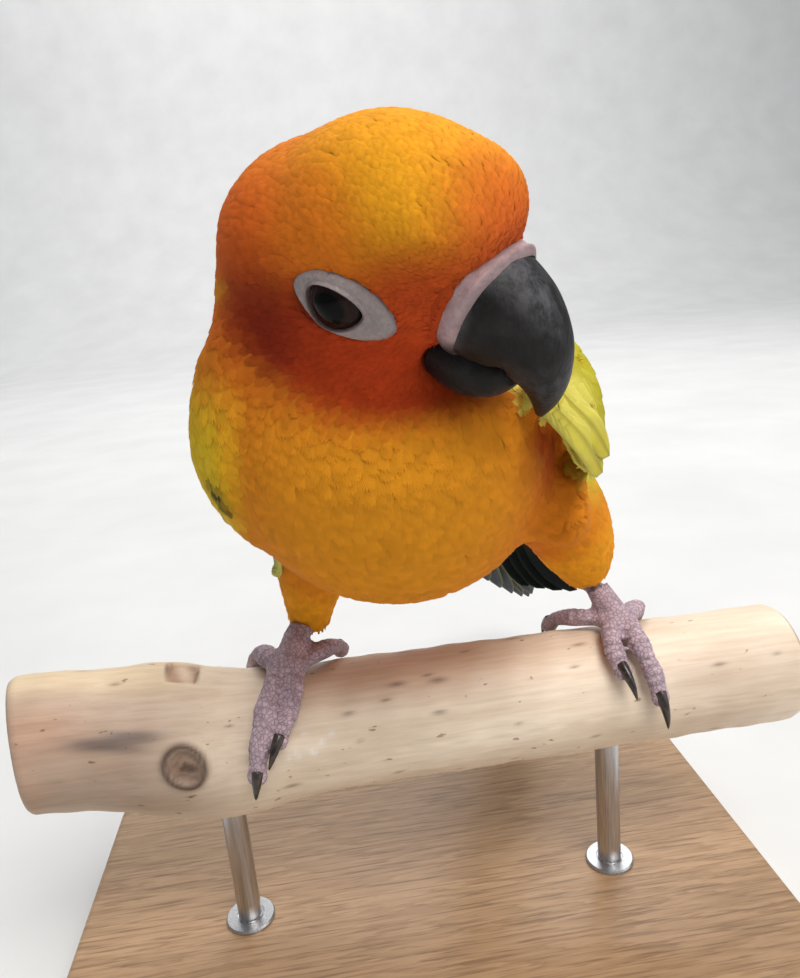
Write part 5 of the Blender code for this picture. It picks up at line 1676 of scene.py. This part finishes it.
# number, first and last root, first and last tip, half width, height at root and tip, and the
# colours of outer web, inner web, tip and edge, with where the tip's colour starts
TIERS = (
    (
        8, (3.1, -22), (3.9, 14), (7.6, 14), (6.0, 44), 3.2, (0.2, 1.2),
        (DEEP_GREEN, BLUE_BLACK, BLUE_BLACK, EDGE_GREEN, 0.45),
    ),
    (
        9, (3.0, 6), (2.9, 60), (6.0, 42), (4.9, 72), 3.6, (0.3, 1.8),
        (GREEN, DEEP_GREEN, DEEP_GREEN, EDGE_LEMON, 0.70),
    ),
    (
        6, (2.7, -22), (3.0, -4), (4.3, -10), (4.6, 8), 2.5, (0.2, 1.6),
        (DEEP_GREEN, BLUE_BLACK, DULL_GREEN, GREEN, 0.55),
    ),
    (
        12, (2.7, -18), (2.6, 64), (4.1, -8), (4.0, 70), 2.9, (0.2, 2.0),
        (YELLOW, (0.45, 0.36, 0.03), GREEN, LEMON, 0.72),
    ),
    (
        14, (2.3, -22), (2.2, 64), (3.35, -16), (3.3, 68), 2.5, (0.2, 1.9),
        (LEMON, YELLOW, (0.42, 0.40, 0.03), LEMON, 0.88),
    ),
    (
        8, (1.9, 66), (3.1, 84), (3.7, 60), (4.9, 74), 3.3, (0.5, 1.8),
        (YELLOW, (0.84, 0.42, 0.015), YELLOW, LEMON, 0.9),
    ),
)
# the left wing's lowest feathers have their roots and tips turned up, in degrees
ROOT_RAISE, TIP_RAISE = 12.0, 9.0
# the left wing's free front edge, and its two layers as place across, height and last station
LIP_ROWS = ((17.9, -38.2, 70.9), (20.6, -41.0, 66.6), (23.7, -43.2, 62.2), (27.5, -39.6, 56.2))
LIP_LAYERS, LIP_COUNT, LIP_LENGTH = ((3.4, 0.7, 2.7), (0.9, 1.2, 3.0)), 8, 1.5
LIP_TONES = ((0.66, 0.57, 0.08), (0.63, 0.55, 0.09), (0.60, 0.50, 0.05), (0.70, 0.62, 0.14), 0.7)
# the long tips that hang behind the left thigh, and the step from one to the next
HANGING = (
    (27.0, 13.0, 41.0),
    (30.4, 15.0, 32.0),
    (33.0, 15.8, 25.0),
    (36.8, 16.0, 19.2),
    (42.0, 16.0, 15.2),
)
HANG_STEP, HANG_COUNT = (-1.7, 0.7, -0.9), 4
HANG_TONES = (DEEP_GREEN, BLUE_BLACK, BLUE_BLACK, DULL_GREEN, 0.4)
# the loose pale tips along the lower edge of the right wing
LOOSE_COUNT = 13
LOOSE_TONES = ((0.72, 0.60, 0.06), (0.62, 0.56, 0.08), (0.66, 0.64, 0.16), (0.80, 0.74, 0.20), 0.6)
blade_finish = coat_finish("stiff_feathers", 260.0, 0.35, 0.5)
for side, name in ((-1, "right"), (1, "left")):
    rng = np.random.default_rng(31 + side)
    feathers = []
    for count, root_a, root_b, tip_a, tip_b, half, (low, high), tones in TIERS:
        for i in range(count):
            f = i / (count - 1)
            root = np.array(root_a) * (1 - f) + np.array(root_b) * f
            tip = np.array(tip_a) * (1 - f) + np.array(tip_b) * f + rng.normal(0, (0.05, 0.8))
            if side > 0:
                root[1], tip[1] = root[1] + ROOT_RAISE * (1 - f), tip[1] + TIP_RAISE * (1 - f)
            line, ways = lying_line(side, root, tip, low, high + 0.05 * i)
            width = half * rng.uniform(0.94, 1.06)
            feathers.append((line, ways, width, -side * 5.0, 0.16, 0.3, tones))
    if side > 0:
        # the front fold of this wing is a smooth lip of long lemon feathers along its free edge
        _, wide_way, out_way = fill_axes("wing_lip")
        lip_out = np.tile(out_way, (BLADE_ROWS, 1))
        for layer, high, far in LIP_LAYERS:
            for number in range(LIP_COUNT):
                first = (far - LIP_LENGTH) / (LIP_COUNT - 1) * number
                line = spline(LIP_ROWS, np.linspace(first, first + LIP_LENGTH, BLADE_ROWS))
                line = line + wide_way * layer + out_way * (high + 0.06 * number)
                feathers.append((line, lip_out, 2.0, 0.0, 0.12, 0.35, LIP_TONES))
        up_in = unit(np.tile((0.0, -1.0, 0.35), (BLADE_ROWS, 1)))
        for shift in range(HANG_COUNT):
            route = np.array(HANGING) + np.array(HANG_STEP) * shift
            line = spline(route, np.linspace(0, 4 - 0.35 * shift, BLADE_ROWS))
            feathers.append((line, up_in, 1.9, 12.0, 0.1, 0.4, HANG_TONES))
    else:
        for number in range(LOOSE_COUNT):
            f = number / 15
            root = (2.5 + 0.75 * f, -17.0 - 9.0 * f)
            tip = (2.95 + 0.75 * f + rng.normal(0, 0.03), -29.0 - 8.0 * f + rng.normal(0, 1.5))
            line, ways = lying_line(side, root, tip, 0.2, 1.0 + 0.6 * f)
            feathers.append((line, ways, 1.5, 6.0, 0.16, 0.5, LOOSE_TONES))
    wing = feather_set(f"wing_feathers_{name}", feathers, blade_finish, 40 + side)
    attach(wing, "root")
    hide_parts(f"wing_{name}")

# Tail

# Twelve long pointed tail feathers in steps, the middle pair longest and on top, olive green
# turning blue-black at the tips, with yellow-green coverts over and orange ones under the root.

TAIL_LENGTHS = (132.0, 124.0, 112.0, 98.0, 83.0, 68.0)
TAIL_TONES = ((0.15, 0.17, 0.022), (0.10, 0.095, 0.035), BLUE_BLACK, (0.26, 0.24, 0.04), 0.74)
# place across and length of each covert of a row
COVERTS = ((0.0, 45.0), (-2.6, 42.0), (2.6, 42.0), (-4.9, 37.0), (4.9, 37.0), (-6.8, 31.0), (6.8, 31.0))
# upper and under coverts: which way out, height, its loss across, fall along, lengths, colours
COVERT_SETS = (
    (
        1, 4.3, 0.12, 2.9, (1.0, 0.66),
        ((0.46, 0.42, 0.03), (0.40, 0.32, 0.02), (0.26, 0.28, 0.03), (0.60, 0.50, 0.04), 0.7),
    ),
    (
        -1, 4.6, 0.15, 1.3, (0.95, 0.62),
        ((0.70, 0.30, 0.012), (0.66, 0.22, 0.010), (0.60, 0.36, 0.02), (0.74, 0.42, 0.02), 0.7),
    ),
)
root, left, _, _, _, _ = body_axes(6.0)
ahead = unit(body_axes(9.0)[0] - root)
across = unit(left - ahead * left.dot(ahead))
up = np.cross(across, ahead)
up = unit(up * math.copysign(1.0, up[2]))
s = np.linspace(0, 1, BLADE_ROWS)[:, None]
feathers = []
for pair in range(5, -1, -1):
    for side in (-1, 1):
        shift = (pair + 0.5) * 1.6
        fan = math.radians(0.7 * (pair + 0.5))
        sink = -0.55 * pair
        way = unit(ahead * math.cos(fan) + across * side * math.sin(fan))
        start = root + across * (side * shift * 0.6) + up * sink + ahead * 2.0
        line = start + way * (TAIL_LENGTHS[pair] - 0.5) * s + up * (-3.0 * s * s + sink * 0.15 * s)
        outer, inner, *rest = TAIL_TONES
        tones = (inner, outer, *rest) if side < 0 else TAIL_TONES
        tilt = 7.0 * side * (1 if pair else 0.4)
        feathers.append((line, np.tile(up, (BLADE_ROWS, 1)), 3.9, tilt, 0.12, 0.42, tones))
for way, high, loss, fall, lengths, tones in COVERT_SETS:
    for order, (shift, length) in enumerate(COVERTS):
        for layer, share in enumerate(lengths):
            lift = high + 0.5 * layer - loss * abs(shift) - 0.06 * order
            start = root - ahead * (5.0 + 3.0 * layer) + across * shift + up * (way * lift)
            line = start + ahead * length * share * s - up * (way * fall * s)
            tilt = 5.0 * np.sign(shift)
            feathers.append((line, np.tile(up * way, (BLADE_ROWS, 1)), 3.3, tilt, 0.2, 0.4, tones))
tail = feather_set("tail_feathers", feathers, blade_finish, 60)
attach(tail, "root")
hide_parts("tail")

# Floor, light and camera

# A plain pale floor that sweeps up behind, and soft studio light. The camera stands where the
# photograph was taken from.

floor_finish, tree, shader = new_finish("pale_floor", 0.75)
clouds = noise(tree, object_place(tree), 12.0, 3.0)
grey = ramp(tree, clouds, (0.3, (0.66, 0.66, 0.65)), (0.7, (0.72, 0.72, 0.71)))
tree.links.new(grey, shader.inputs["Base Color"])
bend = [(1.6 + 0.8 * math.sin(a), 0.8 - 0.8 * math.cos(a)) for a in np.linspace(0.1, math.pi / 2, 12)]
sweep = [(-1.4, 0.0), (1.6, 0.0), *bend, (2.4, 2.6)]
bm = bmesh.new()
lines = [[bm.verts.new((x, y, z)) for y, z in sweep] for x in (-3.0, 3.0)]
for first, second, third, fourth in zip(lines[0], lines[0][1:], lines[1][1:], lines[1]):
    bm.faces.new((fourth, third, second, first))
floor = add_piece("floor", bm, floor_finish)

studio = bpy.data.worlds.new("studio")
bpy.context.scene.world = studio
studio.use_nodes = True
studio.node_tree.nodes["Background"].inputs["Color"].default_value = (0.88, 0.92, 1.0, 1)
studio.node_tree.nodes["Background"].inputs["Strength"].default_value = 0.26
bpy.context.scene.view_settings.view_transform = "Standard"


def lamp(name, place, aim, size, power, colour=(1.0, 1.0, 1.0)):
    """A square soft light turned to a place."""
    light = bpy.data.lights.new(name, "AREA")
    light.shape = "SQUARE"
    light.size, light.energy, light.color = size, power, colour
    obj = bpy.data.objects.new(name, light)
    obj.location = place
    obj.rotation_euler = (Vector(aim) - Vector(place)).to_track_quat("-Z", "Y").to_euler()
    bpy.context.scene.collection.objects.link(obj)


lamp("key", (0.30, -0.60, 1.15), (0, -0.02, 0.12), 0.7, 13.0, (1.0, 0.97, 0.93))
lamp("side", (1.0, -0.5, 0.5), (0, 0, 0.1), 0.8, 2.2)
lamp("back", (0.3, 0.7, 0.9), (0, 0, 0.1), 0.6, 2.5)
lamp("wall", (0.0, 1.0, 1.9), (0.0, 2.4, 0.3), 1.4, 34.0)

yaw, pitch, roll = math.radians(5.0), math.radians(15.0), math.radians(5.5)
aim = Vector((math.sin(yaw) * math.cos(pitch), math.cos(yaw) * math.cos(pitch), -math.sin(pitch)))
level = Vector((math.cos(yaw), -math.sin(yaw), 0.0))
upright = level.cross(aim)
across = level * math.cos(roll) - upright * math.sin(roll)
over = level * math.sin(roll) + upright * math.cos(roll)
# picture points: focal length, picture height, and the branch's middle from the picture's;
# millimetres: distance, sensor width
FOCAL, PICTURE, OFF_MIDDLE = 801.0, 978.0, (7, 224)
REACH, SENSOR = 165.0, 36.0
right, high = (points / FOCAL * REACH for points in OFF_MIDDLE)
eye = -(aim * REACH + across * right - over * high)
lens = bpy.data.cameras.new("camera")
lens.sensor_width = SENSOR
lens.lens = FOCAL * SENSOR / PICTURE
lens.clip_start = 0.005
camera = bpy.data.objects.new("camera", lens)
facing = Matrix((across, over, -aim)).transposed().to_4x4()
camera.matrix_world = Matrix.Translation(to_world(eye)) @ facing
bpy.context.scene.collection.objects.link(camera)
bpy.context.scene.camera = camera

bpy.context.view_layer.update()
